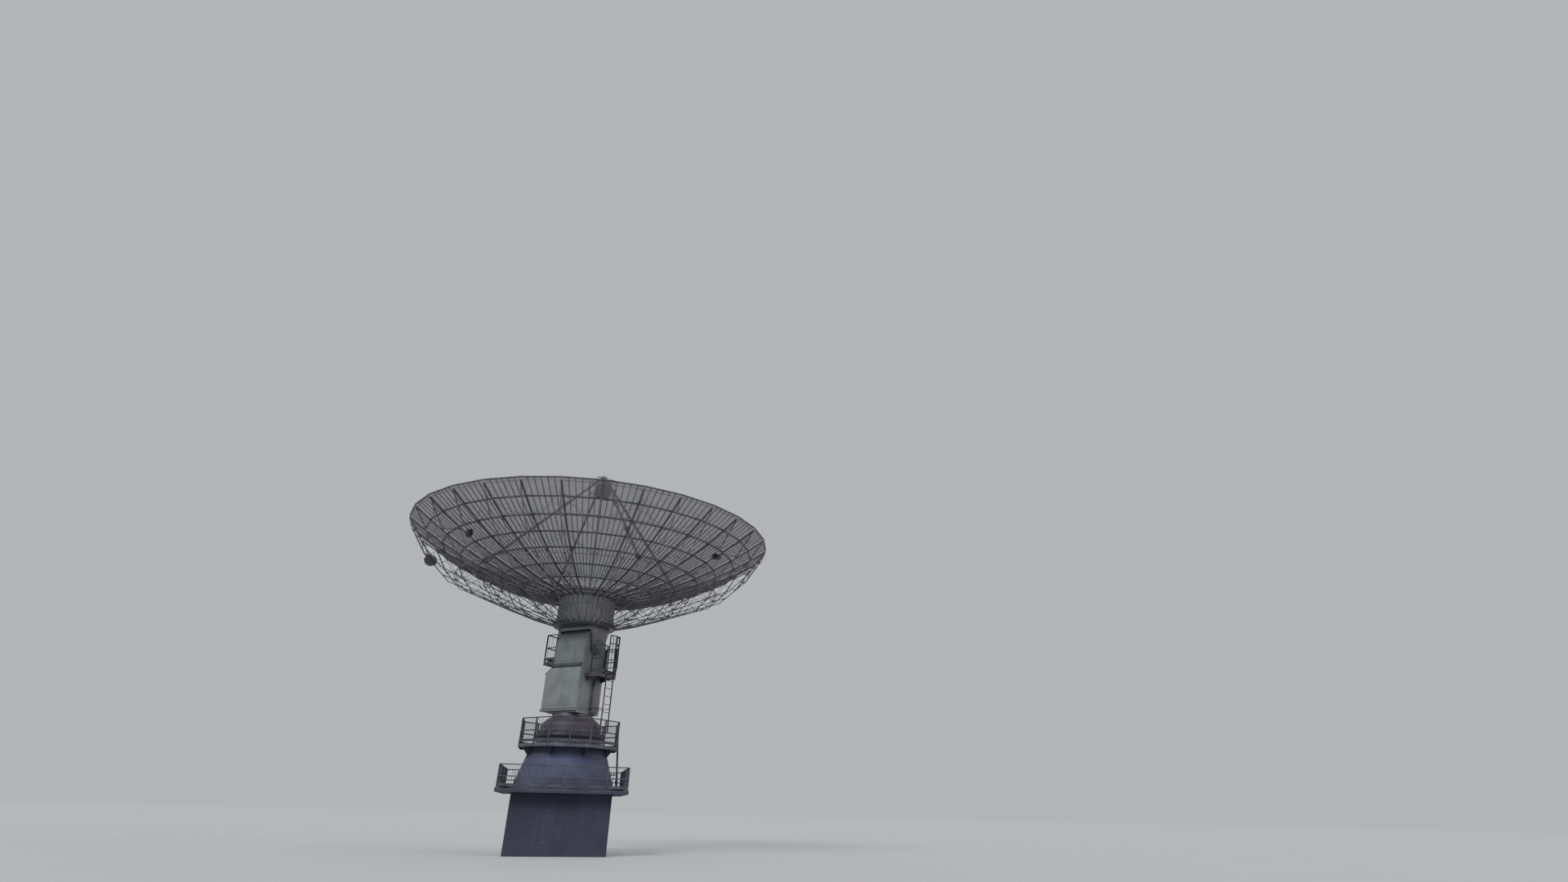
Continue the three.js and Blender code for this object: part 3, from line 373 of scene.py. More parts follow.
foot_z, head_z = (corner.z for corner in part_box("base_cone"))
pedestal = concrete("slate_blue_pedestal", tint(0.31, 0.31, 0.40), tint(0.21, 0.21, 0.29), 0.755, 9.0)
bm = bmesh.new()
hoop(bm, [(0.002, foot_z), (1.931, foot_z), (1.427, head_z), (0.002, head_z)], FINE)
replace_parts(settle(bm, "pedestal_cone", "base", pedestal), "base_cone")
bm = bmesh.new()
hoop(bm, [(1.915, foot_z + 0.0005), (1.965, foot_z + 0.0005), (1.935, foot_z + 0.018), (1.922, foot_z + 0.05)], FINE)
settle(bm, "cone_mortar_cove", "base", pedestal)
bm = bmesh.new()
hoop(bm, [(1.44, head_z - 0.11), (1.475, head_z - 0.11), (1.475, head_z - 0.06), (1.44, head_z - 0.06)], FINE)
settle(bm, "cone_collar", "base", zinc)


# GALLERY: an eight-sided steel floor on brackets round the cone's head, of painted tread plate with a
# fascia bolted round it.
def tread_plate(name, paint, worn):
    """Painted plate with raised dashes in two directions on its upper side, rubbed paler by feet."""
    finish, place = begin(name, 0.15)
    rising, falling = place.axis(0) + place.axis(1), place.axis(0) - place.axis(1)
    one_way = rising.lines(0.05, 0.016) * falling.lines(0.10, 0.06)
    other_way = falling.lines(0.05, 0.016) * rising.lines(0.10, 0.06, 0.5)
    upper_side = place.node("TexCoord", out="Normal").axis(2).ramp(0.6, 0.9)
    dashes = (one_way | other_way) * upper_side
    wear = place.cloud(2.4, 5.0).ramp(0.4, 0.7)
    shade = (wear * 0.6 + dashes * 0.25).blend(paint, worn)
    return apply(finish, shade, 0.45 + wear * 0.25, dashes + place.cloud(120.0, 2.0) * 0.1, 0.002)


gallery_half, gallery_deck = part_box("gallery_floor")[1].x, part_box("gallery_floor")[1].z
gallery_paint = tread_plate("gallery_tread_paint", tint(0.27, 0.26, 0.31), tint(0.38, 0.37, 0.41))
rework("gallery_floor", "gallery_plates", "base", gallery_paint, 0.004)
bm = bmesh.new()
for side in range(8):
    facing = Matrix.Rotation(side * math.pi / 4, 3, "Z")
    for i in range(5):
        fascia = facing @ Vector((gallery_half, 0.34 * (i - 2), gallery_deck - 0.085))
        bolt(bm, fascia, facing @ Vector((1, 0, 0)), 0.012, 0.010)
settle(bm, "gallery_fascia_bolts", "base", gallery_paint)

# GALLERY RAILING AND LADDER: eight mitred sides of posts and rails, filled in with light upright bars,
# with a gap where the leaning ladder arrives from the terrace.
rework("gallery_railing", "gallery_rails", "base", zinc, 0.004)
rework("gallery_ladder", "gallery_ladder_frame", "base", zinc, 0.003)
GALLERY_RAIL = 0.93
bm = bmesh.new()
line = gallery_half - 0.035
for side in range(8):
    start, end = (Vector((math.cos(angle), math.sin(angle))) * line / math.cos(math.pi / 8)
                  for angle in (side * math.pi / 4 - math.pi / 8, side * math.pi / 4 + math.pi / 8))
    lines = [(start, end, 2)]
    if side == 0:
        lines = [(start, (line, -GATE_HALF), 1), ((line, GATE_HALF), end, 1)]
    for a, b, bays in lines:
        guard(bm, a, b, gallery_deck, GALLERY_RAIL, bays, 0.085, 0.008)
settle(bm, "gallery_bars", "base", zinc)


# AZIMUTH BEARING: a machined ring bolted down inside the gallery, its turning flange above, and the lip
# of a rubber seal between.
def painted(name, paint, faded, roughness, rust, metallic=0.0, shaded_below=None):
    """Paint on steel: chalky fading, rain runs, a fine orange-peel relief, specks of rust, and painted shade
    below a height if one is given: a darkening that stands in for shade, not dirt."""
    finish, place = begin(name, metallic)
    fading = place.cloud(1.3, 5.0).ramp(0.3, 0.72)
    runs = place.stretched(9, 9, 0.5).cloud(1.4, 4.0).ramp(0.5, 0.8)
    specks = place.cloud(24.0, 6.0).ramp(0.68 - 0.1 * rust, 0.74 - 0.1 * rust) * rust
    shade = specks.blend((fading * 0.7 + runs * 0.5).blend(paint, faded), tint(0.34, 0.20, 0.13))
    # Painted shade: below the given height the colour is darkened towards a dark grey, standing in for shade under a
    # plate.
    if shaded_below:
        painted_shade = 0.9 - place.axis(2).ramp(shaded_below, shaded_below + 0.03) * 0.9
        shade = painted_shade.blend(shade, tint(0.20, 0.19, 0.21))
    relief = place.cloud(160.0, 2.0) * 0.4 + fading - specks * 0.6
    return apply(finish, shade, roughness + fading * 0.18 + specks * 0.25, relief, 0.0015)


greasy = painted("greasy_bearing_paint", tint(0.24, 0.22, 0.25), tint(0.30, 0.28, 0.31), 0.35, 0.3, 0.3)
bearing_foot, bearing_top = (corner.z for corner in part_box("azimuth_bearing"))
WELL, RING, FLANGE = 1.0, 1.248, 1.348
bm = bmesh.new()
hoop(bm, [(WELL, bearing_foot), (RING, bearing_foot), (RING, bearing_top - 0.004), (RING - 0.004, bearing_top),
          (WELL, bearing_top)], FINE)
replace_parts(settle(bm, "bearing_ring", "base", greasy), "azimuth_bearing")
flange_foot, flange_top = (corner.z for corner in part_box("azimuth_flange"))
bm = bmesh.new()
hoop(bm, [(WELL, flange_foot), (FLANGE - 0.005, flange_foot), (FLANGE, flange_foot + 0.005),
          (FLANGE, flange_top - 0.005), (FLANGE - 0.005, flange_top), (WELL, flange_top)], FINE)
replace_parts(settle(bm, "turning_flange", "turret", greasy), "azimuth_flange")
FLANGE_BOLTS, BOLT_CIRCLE = 48, 1.285
bm = bmesh.new()
for k in range(FLANGE_BOLTS):
    facing = Matrix.Rotation((k + 0.5) * math.tau / FLANGE_BOLTS, 3, "Z")
    bolt(bm, facing @ Vector((BOLT_CIRCLE, 0, flange_top)), (0, 0, 1), 0.022, 0.026)
settle(bm, "flange_bolts", "turret", greasy)
bm = bmesh.new()
hoop(bm, [(r, bearing_top - drop) for r, drop in ((1.2485, 0.045), (1.268, 0.040), (1.272, 0.014),
                                                   (1.258, 0.004), (1.2485, 0.004))], FINE)
settle(bm, "bearing_seal", "base", greasy)

# SKIRT: a rolled plate housing over the bearing that necks in to the column, with welded seams and
# small triangular stiffeners where it stands on the flange. All of the turret is stowed turned a little
# to the left.
skirt_paint = painted("skirt_dark_paint", tint(0.235, 0.21, 0.245), tint(0.30, 0.275, 0.31), 0.42, 0.2)
STOW_TURN = math.radians(-39.375)
stowed = Matrix.Rotation(STOW_TURN, 4, "Z")
rolled = [(1.177, flange_top + 0.0003), (1.177, 4.400), (1.117, 4.520), (0.977, 4.640), (0.797, 4.770), (0.773, 4.880)]
bm = bmesh.new()
hoop(bm, rolled + [(r - 0.04, z) for r, z in reversed(rolled)], FINE)
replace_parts(settle(bm, "skirt_plates", "turret", skirt_paint, 10), "turret_skirt")
bm = bmesh.new()
for r, z in rolled[1:5]:
    hoop(bm, [(r - 0.012, z - 0.012), (r + 0.003, z - 0.010), (r + 0.006, z), (r + 0.003, z + 0.008),
              (r - 0.016, z + 0.010)], FINE)
STIFFENERS, STIFFENER_RADIUS = 16, 0.085
standing = Matrix.Rotation(math.pi / 2, 4, "X") @ Matrix.Rotation(math.radians(-30), 4, "Z")
for k in range(STIFFENERS):
    facing = stowed @ Matrix.Rotation((k + 0.5) * math.tau / STIFFENERS, 4, "Z")
    bmesh.ops.create_cone(bm, cap_ends=True, segments=3, radius1=STIFFENER_RADIUS, radius2=STIFFENER_RADIUS,
                          depth=0.014, matrix=facing @ Matrix.Translation((1.205, 0, flange_top + 0.045)) @ standing)
settle(bm, "skirt_seams_and_stiffeners", "turret", skirt_paint)

# COLUMN: a square welded box with a round head, painted pale grey-green, with weld seams round it and
# bolted manhole covers back and front and on its right side.
column_paint = painted("column_grey_green_paint", tint(0.45, 0.475, 0.465), tint(0.345, 0.36, 0.355), 0.40, 0.12)
COLUMN = 0.71
rework("turret_column", "column_box", "turret", column_paint, 0.010)


def cover(bm, facing, wall, low, high, bolts_across, radius=0.010):
    """A plate bolted on a wall that faces -Y before it is turned, with a row of bolts top and bottom."""
    box(bm, (low[0], -wall - 0.014, low[1]), (high[0], -wall - 0.0005, high[1]), facing, 0.004)
    for i in range(bolts_across):
        x = low[0] + 0.035 + (high[0] - low[0] - 0.07) * i / (bolts_across - 1)
        for z in (low[1] + 0.035, high[1] - 0.035):
            bolt(bm, facing @ Vector((x, -wall - 0.014, z)), facing.to_3x3() @ Vector((0, -1, 0)), radius, 0.010)


bm = bmesh.new()
WELDS = (6.79, 7.47)
for z in WELDS:
    for side in range(4):
        facing = stowed @ Matrix.Rotation(side * math.pi / 2, 4, "Z")
        box(bm, (-COLUMN - 0.004, -COLUMN - 0.006, z - 0.010), (COLUMN + 0.004, -COLUMN + 0.001, z + 0.010), facing)
for side, low, high in (
    (0, (-0.28, 6.86), (0.28, 7.38)),
    (2, (-0.28, 5.30), (0.28, 6.40)),
    (1, (-0.55, 5.02), (0.0, 6.06)),
):
    cover(bm, stowed @ Matrix.Rotation(side * math.pi / 2, 4, "Z"), COLUMN, low, high, 4)
settle(bm, "column_seams_and_covers", "turret", column_paint, 25)


# CABIN: the sheet-steel casing on the column's left and front, with two hinged and louvred doors on the
# left, two bolted panels in front, folded drip lips at the foot and a rain hood over the front.
def bar(bm, start, end, width, depth):
    """A straight bar of rectangular section, its width level, from one point to another."""
    middle, length = between(start, end)
    bmesh.ops.create_cube(bm, size=1, matrix=middle @ Matrix.Diagonal((width, depth, length, 1)))


rework("equipment_cabin", "cabin_casing", "turret", column_paint, 0.006)
left, front = COLUMN + 0.2703, COLUMN + 0.0803
DOORS, DOOR_WIDTH, DOOR_FOOT, DOOR_HEAD = (-0.66, 0.05), 0.64, 5.16, 6.24
bm = bmesh.new()
west = stowed @ Matrix.Rotation(-math.pi / 2, 4, "Z")
for y in DOORS:
    box(bm, (y, -left - 0.016, DOOR_FOOT), (y + DOOR_WIDTH, -left - 0.0005, DOOR_HEAD), west, 0.004)
    for z in (5.30, 6.08):
        hinge = [west @ Vector((y - 0.006, -left - 0.018, z + end)) for end in (-0.05, 0.05)]
        rod(bm, *hinge, 0.012)
    grip = [west @ Vector((y + 0.56, -left - 0.040, z)) for z in (5.62, 5.78)]
    rod(bm, *grip, 0.009)
    for z in (5.63, 5.77):
        rod(bm, west @ Vector((y + 0.56, -left - 0.010, z)), west @ Vector((y + 0.56, -left - 0.044, z)), 0.009)
cover(bm, stowed, front, (-0.90, 5.14), (-0.06, 6.34), 5, 0.009)
cover(bm, stowed, front, (0.02, 5.14), (0.66, 6.46), 4, 0.009)
settle(bm, "cabin_doors_and_panels", "turret", column_paint, 25)
gutter_paint = painted("cabin_gutter_paint", tint(0.24, 0.25, 0.245), tint(0.32, 0.33, 0.32), 0.45, 0.2)
bm = bmesh.new()
box(bm, (-COLUMN, -front - 0.050, 6.655), (COLUMN + 0.02, -front - 0.044, 6.735), stowed)
box(bm, (-COLUMN, -front - 0.050, 6.725), (COLUMN + 0.02, -COLUMN - 0.001, 6.735), stowed)
for x in (-0.6, -0.2, 0.2, 0.6):
    box(bm, (x - 0.004, -front - 0.044, 6.66), (x + 0.004, -COLUMN - 0.001, 6.725), stowed)
for y in (-front + 0.01, COLUMN - 0.02):
    bar(bm, stowed @ Vector((-left - 0.02, y, 6.398)), stowed @ Vector((-COLUMN, y, 6.645)), 0.02, 0.014)
eaves = [stowed @ Vector((-left - 0.022, y, 6.395)) for y in (-front - 0.01, COLUMN)]
bar(bm, *eaves, 0.05, 0.045)
for z, reach in ((5.045, 0.008), (4.962, 0.036)):
    box(bm, (-left - reach, -front - reach, z - 0.016), (COLUMN - 0.002, -front - reach + 0.007, z + 0.016), stowed)
    box(bm, (-left - reach, -front - reach, z - 0.016), (-left - reach + 0.007, COLUMN - 0.002, z + 0.016), stowed)
settle(bm, "cabin_gutter_and_lips", "turret", gutter_paint)
louvre_paint = painted("cabin_louvre_paint", tint(0.36, 0.375, 0.365), tint(0.28, 0.29, 0.285), 0.45, 0.15)
sloping = Matrix.Rotation(math.radians(-40), 4, "X")
bm = bmesh.new()
for y in DOORS:
    for k in range(7):
        slat = west @ Matrix.Translation((y + 0.12, -left - 0.016, 5.26 + 0.042 * k)) @ sloping
        box(bm, (0, -0.024, 0), (0.38, 0.002, 0.003), slat)
settle(bm, "cabin_louvres", "turret", louvre_paint)

# CABLE DUCT: a folded sheet trunking down the column's right side, behind the ladder, with a bolted lid
# and the mouths of three cable pipes at its foot.
bm = bmesh.new()
east = stowed @ Matrix.Rotation(math.pi / 2, 4, "Z")
box(bm, (0.10, -COLUMN - 0.115, 4.94), (0.43, -COLUMN - 0.0003, 6.24), east, 0.006)
box(bm, (0.085, -COLUMN - 0.124, 4.99), (0.445, -COLUMN - 0.114, 6.19), east, 0.003)
for z in (5.04, 5.33, 5.62, 5.91, 6.14):
    for y in (0.105, 0.425):
        bolt(bm, east @ Vector((y, -COLUMN - 0.124, z)), east.to_3x3() @ Vector((0, -1, 0)), 0.008, 0.008)
for y in (0.17, 0.265, 0.36):
    rod(bm, east @ Vector((y, -COLUMN - 0.06, 4.945)), east @ Vector((y, -COLUMN - 0.06, 4.895)), 0.030, 16)
duct_paint = painted("cable_duct_paint", tint(0.37, 0.36, 0.37), tint(0.29, 0.28, 0.29), 0.42, 0.15)
settle(bm, "cable_duct", "turret", duct_paint, 25)

# PLATFORMS: two steel ledges on gussets, one each side of the column at two heights, of dark tread
# plate edged with deep channel and bolted to the column's walls.
platform_paint = tread_plate("platform_tread_paint", tint(0.27, 0.25, 0.27), tint(0.36, 0.34, 0.36))
for side in ("right", "left"):
    rework(f"{side}_platform", f"{side}_ledge", "turret", platform_paint, 0.005)
RIGHT_EDGE, LEFT_EDGE, RIGHT_DECK, LEFT_DECK = 1.36, 1.50, 6.40, 6.95
BRACKET_FOOT = 0.7703


def flank(side, x, y, z):
    """A point beside the stowed column, on its right (1) or left (-1)."""
    return stowed @ Vector((side * x, y, z))


bm = bmesh.new()
for side, edge, z in ((1, RIGHT_EDGE, RIGHT_DECK), (-1, LEFT_EDGE, LEFT_DECK)):
    for y in (-0.44, 0.69):
        bar(bm, flank(side, 0.72, y, z - 0.105), flank(side, edge - 0.01, y, z - 0.105), 0.012, 0.07)
        bar(bm, flank(side, 0.72, y * 0.95, z - 0.135), flank(side, edge - 0.01, y * 0.95, z - 0.135), 0.05, 0.010)
    bar(bm, flank(side, edge - 0.006, -0.45, z - 0.105), flank(side, edge - 0.006, 0.70, z - 0.105), 0.012, 0.07)
    for y in (-0.30, 0.55):
        for drop in (0.12, 0.25):
            for across in (-0.035, 0.035):
                bolt(bm, flank(side, BRACKET_FOOT, y + across, z - drop), stowed.to_3x3() @ Vector((side, 0, 0)),
                     0.010, 0.010)
settle(bm, "platform_channels", "turret", platform_paint)

# PLATFORM RAILINGS AND LADDER: posts, rails and kick plates round the ledges, filled in with light bars.
# A cage of bent flats guards the top of the ladder, outside the right-hand ledge.
rework("right_railing", "right_rails", "turret", zinc, 0.004)
rework("left_railing", "left_rails", "turret", zinc, 0.004)
rework("platform_ladder", "platform_ladder_frame", "turret", zinc, 0.003)
PLATFORM_RAIL = 1.10
bm = bmesh.new()
for side, edge, z, lines in (
    (1, RIGHT_EDGE - 0.025, RIGHT_DECK, [((0.925, -0.425), (1, -0.425), 1), ((1, -0.425), (1, 0.0), 1),
                                         ((1, 0.55), (1, 0.675), 1), ((0.76, 0.675), (1, 0.675), 1)]),
    (-1, LEFT_EDGE - 0.025, LEFT_DECK, [((0.925, -0.425), (1, -0.425), 1), ((1, -0.425), (1, 0.675), 1),
                                        ((0.76, 0.675), (1, 0.675), 1)]),
):
    for start, end, bays in lines:
        start, end = (flank(side, edge if x == 1 else x, y, 0).xy for x, y in (start, end))
        guard(bm, start, end, z, PLATFORM_RAIL, bays, 0.13, 0.007, shoes=False)
settle(bm, "platform_bars", "turret", zinc)
bm = bmesh.new()
cage = [(RIGHT_EDGE + 0.05, 0.035), (RIGHT_EDGE + 0.17, 0.06), (RIGHT_EDGE + 0.215, 0.17), (RIGHT_EDGE + 0.215, 0.38),
        (RIGHT_EDGE + 0.17, 0.49), (RIGHT_EDGE + 0.05, 0.515)]
for k in range(5):
    z = 6.62 + 0.32 * k
    for (x0, y0), (x1, y1) in zip(cage, cage[1:]):
        bar(bm, flank(1, x0, y0, z), flank(1, x1, y1, z), 0.008, 0.045)
for x, y in cage[1:-1]:
    bar(bm, flank(1, x - 0.006, y, 6.60), flank(1, x - 0.006, y, 7.92), 0.036, 0.008)
settle(bm, "ladder_cage", "turret", zinc)

# TRUNNIONS: the two fixed stub axles of the tipping joint, one each side of the column's head, turned from
# steel and set in welded bosses.
oiled = painted("oiled_axle_steel", tint(0.36, 0.36, 0.37), tint(0.22, 0.22, 0.22), 0.28, 0.15, 0.8)
for side in ("right", "left"):
    rework(f"{side}_trunnion", f"{side}_axle", "turret", oiled, 0.004)

# YOKE: a saddle and two deep cheeks that hang the dish on the axles, with bolted bearing caps, doubling
# plates where cheek meets saddle, and a short apron screwed along each edge to shed rain.
yoke_paint = painted("yoke_grey_paint", tint(0.385, 0.38, 0.39), tint(0.30, 0.295, 0.31), 0.42, 0.15)
rework("yoke", "yoke_arms", "dish", yoke_paint, 0.008)
AXLE_HEIGHT = 7.5
bm = bmesh.new()
for side in (-1, 1):
    for k in range(8):
        angle = math.tau * (k + 0.5) / 8
        cap_bolt = flank(side, 0.9906, 0.19 * math.cos(angle), AXLE_HEIGHT + 0.19 * math.sin(angle))
        bolt(bm, cap_bolt, stowed.to_3x3() @ Vector((side, 0, 0)), 0.016, 0.018)
    for y in (-0.506, 0.506):
        bar(bm, flank(side, 0.83, y, 8.10), flank(side, 0.83, y, 8.21), 0.120, 0.011)
        for x in (0.795, 0.865):
            bolt(bm, flank(side, x, y, 8.155), stowed.to_3x3() @ Vector((0, y, 0)), 0.012, 0.018)
settle(bm, "yoke_bolts_and_plates", "dish", yoke_paint)
APRON_HALF, APRON_FOOT, APRON_TOP, APRON_FACE, APRON_THICK = 0.755, 8.120, 8.262, 0.512, 0.0117
bm = bmesh.new()
for facing in (stowed, stowed @ Matrix.Rotation(math.pi, 4, "Z")):
    box(bm, (-APRON_HALF, -APRON_FACE, APRON_FOOT), (APRON_HALF, APRON_THICK - APRON_FACE, APRON_TOP), facing, 0.003)
    for i in range(6):
        screw = facing @ Vector((0.28 * i - 0.70, -APRON_FACE, 8.243))
        bolt(bm, screw, facing.to_3x3() @ Vector((0, -1, 0)), 0.009, 0.009)
settle(bm, "saddle_aprons", "dish", column_paint, 25)

# HUB: a rolled steel drum on a wider round plate, which the thirty-two trusses are bolted to, with
# ring stiffeners round the drum and gussets from drum to plate.
# The hub's round plate lies below the height given here, so its paint is darkened all over: painted shade, for the
# shade it sits in under the dish.
hub_paint = painted("hub_grey_paint", tint(0.53, 0.53, 0.525), tint(0.415, 0.415, 0.41), 0.45, 0.2, shaded_below=8.305)
VERTEX = 9.45
HUB, HUB_WALL, HUB_TOP = 1.110, 0.022, VERTEX + 0.0445
PLATE, PLATE_FOOT, PLATE_TOP, CORNER = 1.240, 8.270, 8.2997, 0.004
pitch = math.tau / 32
bm = bmesh.new()
hoop(bm, [(HUB - HUB_WALL, PLATE_TOP), (HUB, PLATE_TOP), (HUB, HUB_TOP), (HUB - HUB_WALL, HUB_TOP)], first=pitch / 2)
hoop(bm, [(0.002, PLATE_FOOT), (PLATE - CORNER, PLATE_FOOT), (PLATE, PLATE_FOOT + CORNER),
          (PLATE, PLATE_TOP - CORNER), (PLATE - CORNER, PLATE_TOP), (0.002, PLATE_TOP)], FINE)
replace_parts(settle(bm, "hub_drum", "dish", hub_paint, 10), "hub")
bm = bmesh.new()
for k in range(32):
    facing = Matrix.Rotation(k * pitch, 4, "Z")
    bolt(bm, facing @ Vector((1.19, 0, PLATE_TOP + 0.0002)), (0, 0, 1), 0.016, 0.018)
    box(bm, (1.10, -0.006, PLATE_TOP + 0.0002), (1.19, 0.006, 8.40), facing @ Matrix.Rotation(pitch / 2, 4, "Z"))
    box(bm, (1.1135, -0.07, VERTEX - 1.14), (1.1255, 0.07, VERTEX - 0.02), facing)
for z in (8.62, 8.90):
    hoop(bm, [(1.100, z - 0.008), (1.128, z - 0.008), (1.128, z + 0.008), (1.100, z + 0.008)], first=pitch / 2)
settle(bm, "hub_bolts_and_gussets", "dish", hub_paint)

# TRUSSES: thirty-two radial lattice girders, their top chords of T-section and the rest of tube, with
# plates at the joints. Rings and diagonals of thinner tube brace each to the next. The tee's table and
# stem are given by drop, width and depth, the tubes by radius.
lattice = galvanised("lattice_zinc_grey", tint(0.43, 0.42, 0.43), tint(0.31, 0.30, 0.31), 0.50)
RINGS = [1.64, 2.69, 3.62, 4.55, 5.34, 6.08, 6.80]
KEEL = [(1.10, -1.15), (2.50, -0.72), (3.95, -0.18), (5.40, 0.40), (5.95, 0.61), (6.80, 1.42), (7.27, 2.12)]
STATIONS = [1.15] + RINGS + [7.5]
FOUR_FOCAL_LENGTHS = 22
TOP_JOINTS, KEEL_JOINTS = (1.15, 2.69, 4.55, 6.08, 7.39), (1.15, 3.62, 5.34, 6.70)
TEE = {"table": (0.067, 0.072, 0.009), "stem": (0.096, 0.009, 0.050)}
CHORD_START, CHORD_END, WEB_DROP = 1.135, 7.43, 0.10
HEAVY_RINGS, LIGHT_RINGS = (2.50, 5.40), (3.95, 6.80)
KEEL_TUBE, STRUT_TUBE, HEAVY_TUBE, WEB_TUBE, LIGHT_TUBE, BRACE_TUBE = 0.021, 0.018, 0.016, 0.0115, 0.011, 0.009


def bowl(r):
    """Height of the reflecting surface over its vertex: straight between the rings, which lie on a paraboloid."""
    for r0, r1 in zip(STATIONS, STATIONS[1:]):
        if r <= r1:
            low, rise = r0 * r0 / FOUR_FOCAL_LENGTHS, (r1 * r1 - r0 * r0) / FOUR_FOCAL_LENGTHS
            return low + rise * (r - r0) / (r1 - r0)


def keel(r):
    """Height of the middle of the keel chord."""
    for (r0, z0), (r1, z1) in zip(KEEL, KEEL[1:]):
        if r <= r1:
            return 0.03 + z0 + (z1 - z0) * (r - r0) / (r1 - r0)


def spot(k, r, z):
    """A point on truss k at a radius and a height over the vertex."""
    return Matrix.Rotation(k * pitch, 3, "Z") @ Vector((r, 0, VERTEX + z))


for sector in range(8):
    bm = bmesh.new()
    for k in range(4 * sector - 3, 4 * sector + 1):
        facing = Matrix.Rotation(k * pitch, 4, "Z")
        chord = [CHORD_START] + RINGS + [CHORD_END]
        for r0, r1 in zip(chord, chord[1:]):
            for drop, width, depth in TEE.values():
                inner = bowl(max(r0, STATIONS[0])) - drop
                bar(bm, spot(k, r0, inner), spot(k, r1, bowl(r1) - drop), width, depth)
        low = [CHORD_START] + [r for r, z in KEEL[1:]]
        for r0, r1 in zip(low, low[1:]):
            rod(bm, spot(k, r0, keel(r0)), spot(k, r1, keel(r1)), KEEL_TUBE)
        for i, foot in enumerate(KEEL_JOINTS):
            for top in TOP_JOINTS[i:i + 2]:
                rod(bm, spot(k, foot, keel(foot)), spot(k, top, bowl(top) - WEB_DROP), WEB_TUBE, 6)
            z = VERTEX + keel(foot)
            box(bm, (foot - 0.05, -0.005, z - 0.015), (foot + 0.05, 0.005, z + 0.075), facing)
        for top in TOP_JOINTS[1:]:
            z, outer = VERTEX + bowl(top), 0.055 if top < 7 else 0.03
            box(bm, (top - 0.055, -0.005, z - 0.175), (top + outer, 0.005, z - 0.09), facing)
        rod(bm, spot(k, 7.27, keel(7.27)), spot(k, 7.42, bowl(7.42) - WEB_DROP), STRUT_TUBE)
        bar(bm, spot(k, 7.41, bowl(7.41) - 0.075), spot(k, 7.445, 2.400), 0.030, 0.010)
        for r in HEAVY_RINGS:
            rod(bm, spot(k, r, keel(r)), spot(k + 1, r, keel(r)), HEAVY_TUBE)
    girders = settle(bm, f"truss_lattice_{sector + 1}", "dish", lattice)
    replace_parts(girders, f"truss_sector_{sector + 1}")
for quarter in range(4):
    bm = bmesh.new()
    for k in range(8 * quarter, 8 * quarter + 8):
        for r in LIGHT_RINGS:
            rod(bm, spot(k, r, keel(r)), spot(k + 1, r, keel(r)), LIGHT_TUBE, 6)
        for r0, r1 in ((2.50, 3.95), (3.95, 5.40), (5.40, 6.25), (6.25, 7.27)):
            rod(bm, spot(k + k % 2, r0, keel(r0)), spot(k + 1 - k % 2, r1, keel(r1)), BRACE_TUBE, 6)
        for r in KEEL_JOINTS[1:]:
            rod(bm, spot(k + k % 2, r, keel(r)), spot(k + 1 - k % 2, r, bowl(r) - WEB_DROP), BRACE_TUBE, 6)
    settle(bm, f"truss_bracing_{quarter + 1}", "dish", lattice)

# OVAL HOUSINGS: three dark sheet drums of different sizes, each with a bolted band round its lid, held
# beside an outer truss by a block that is clamped on the keel.
drum_black = painted("housing_black_paint", tint(0.13, 0.12, 0.14), tint(0.20, 0.19, 0.21), 0.4, 0.1)
bm = bmesh.new()
OUT = 6.45
for k, wide, tall, deep, high in (
    (-4, 0.165, 0.105, 0.13, 1.06),
    (16, 0.240, 0.210, 0.14, 1.12),
    (20, 0.110, 0.145, 0.08, 1.02),
):
    truss = Matrix.Rotation(k * pitch, 4, "Z")
    lying = (truss @ Matrix.Translation((OUT, deep + 0.012, VERTEX + high)) @ Matrix.Rotation(-math.pi / 2, 4, "X")
             @ Matrix.Diagonal((wide, tall, 1, 1)))
    hoop(bm, [(0.004, -deep), (0.90, -deep), (0.98, -deep + 0.02), (0.98, 0.035 - deep), (1.02, 0.035 - deep),
              (1.02, 0.07 - deep), (0.98, 0.07 - deep), (0.98, deep - 0.02), (0.90, deep), (0.004, deep)],
         32, place=lying)
    for i in range(12):
        way = Vector((math.cos(i * math.tau / 12), math.sin(i * math.tau / 12), 0))
        bolt(bm, lying @ (way + Vector((0, 0, 0.0525 - deep))), lying.to_3x3() @ way, 0.009, 0.014)
    z = VERTEX + keel(OUT)
    box(bm, (OUT - 0.05, -0.030, z - 0.045), (OUT + 0.05, 0.020, z + 0.045), truss, 0.004)
settle(bm, "oval_housings", "dish", drum_black, 30)

# REFLECTOR: wire mesh stretched over seven rings and a rim of folded aluminium angle, with five flat slats
# running out between each two trusses, made in four quarters that meet half way between trusses.
purlin_metal = galvanised("purlin_dull_aluminium", tint(0.46, 0.45, 0.46), tint(0.33, 0.32, 0.33), 0.48)
gauze, place = begin("reflector_wire_mesh", 0.2)
MESH_PITCH, WIRE_WIDTH = 0.025, 0.008
wires = place.axis(0).lines(MESH_PITCH, WIRE_WIDTH) | place.axis(1).lines(MESH_PITCH, WIRE_WIDTH)
dust = place.cloud(1.1, 4.0)
weathering = dust.ramp(0.35, 0.7) * 0.4 + place.cloud(9.0) * 0.4
apply(gauze, weathering.blend(tint(0.50, 0.485, 0.49), tint(0.37, 0.355, 0.36)), dust * 0.2 + 0.45,
      Alpha=wires * 0.36 + dust * 0.03 + 0.335)


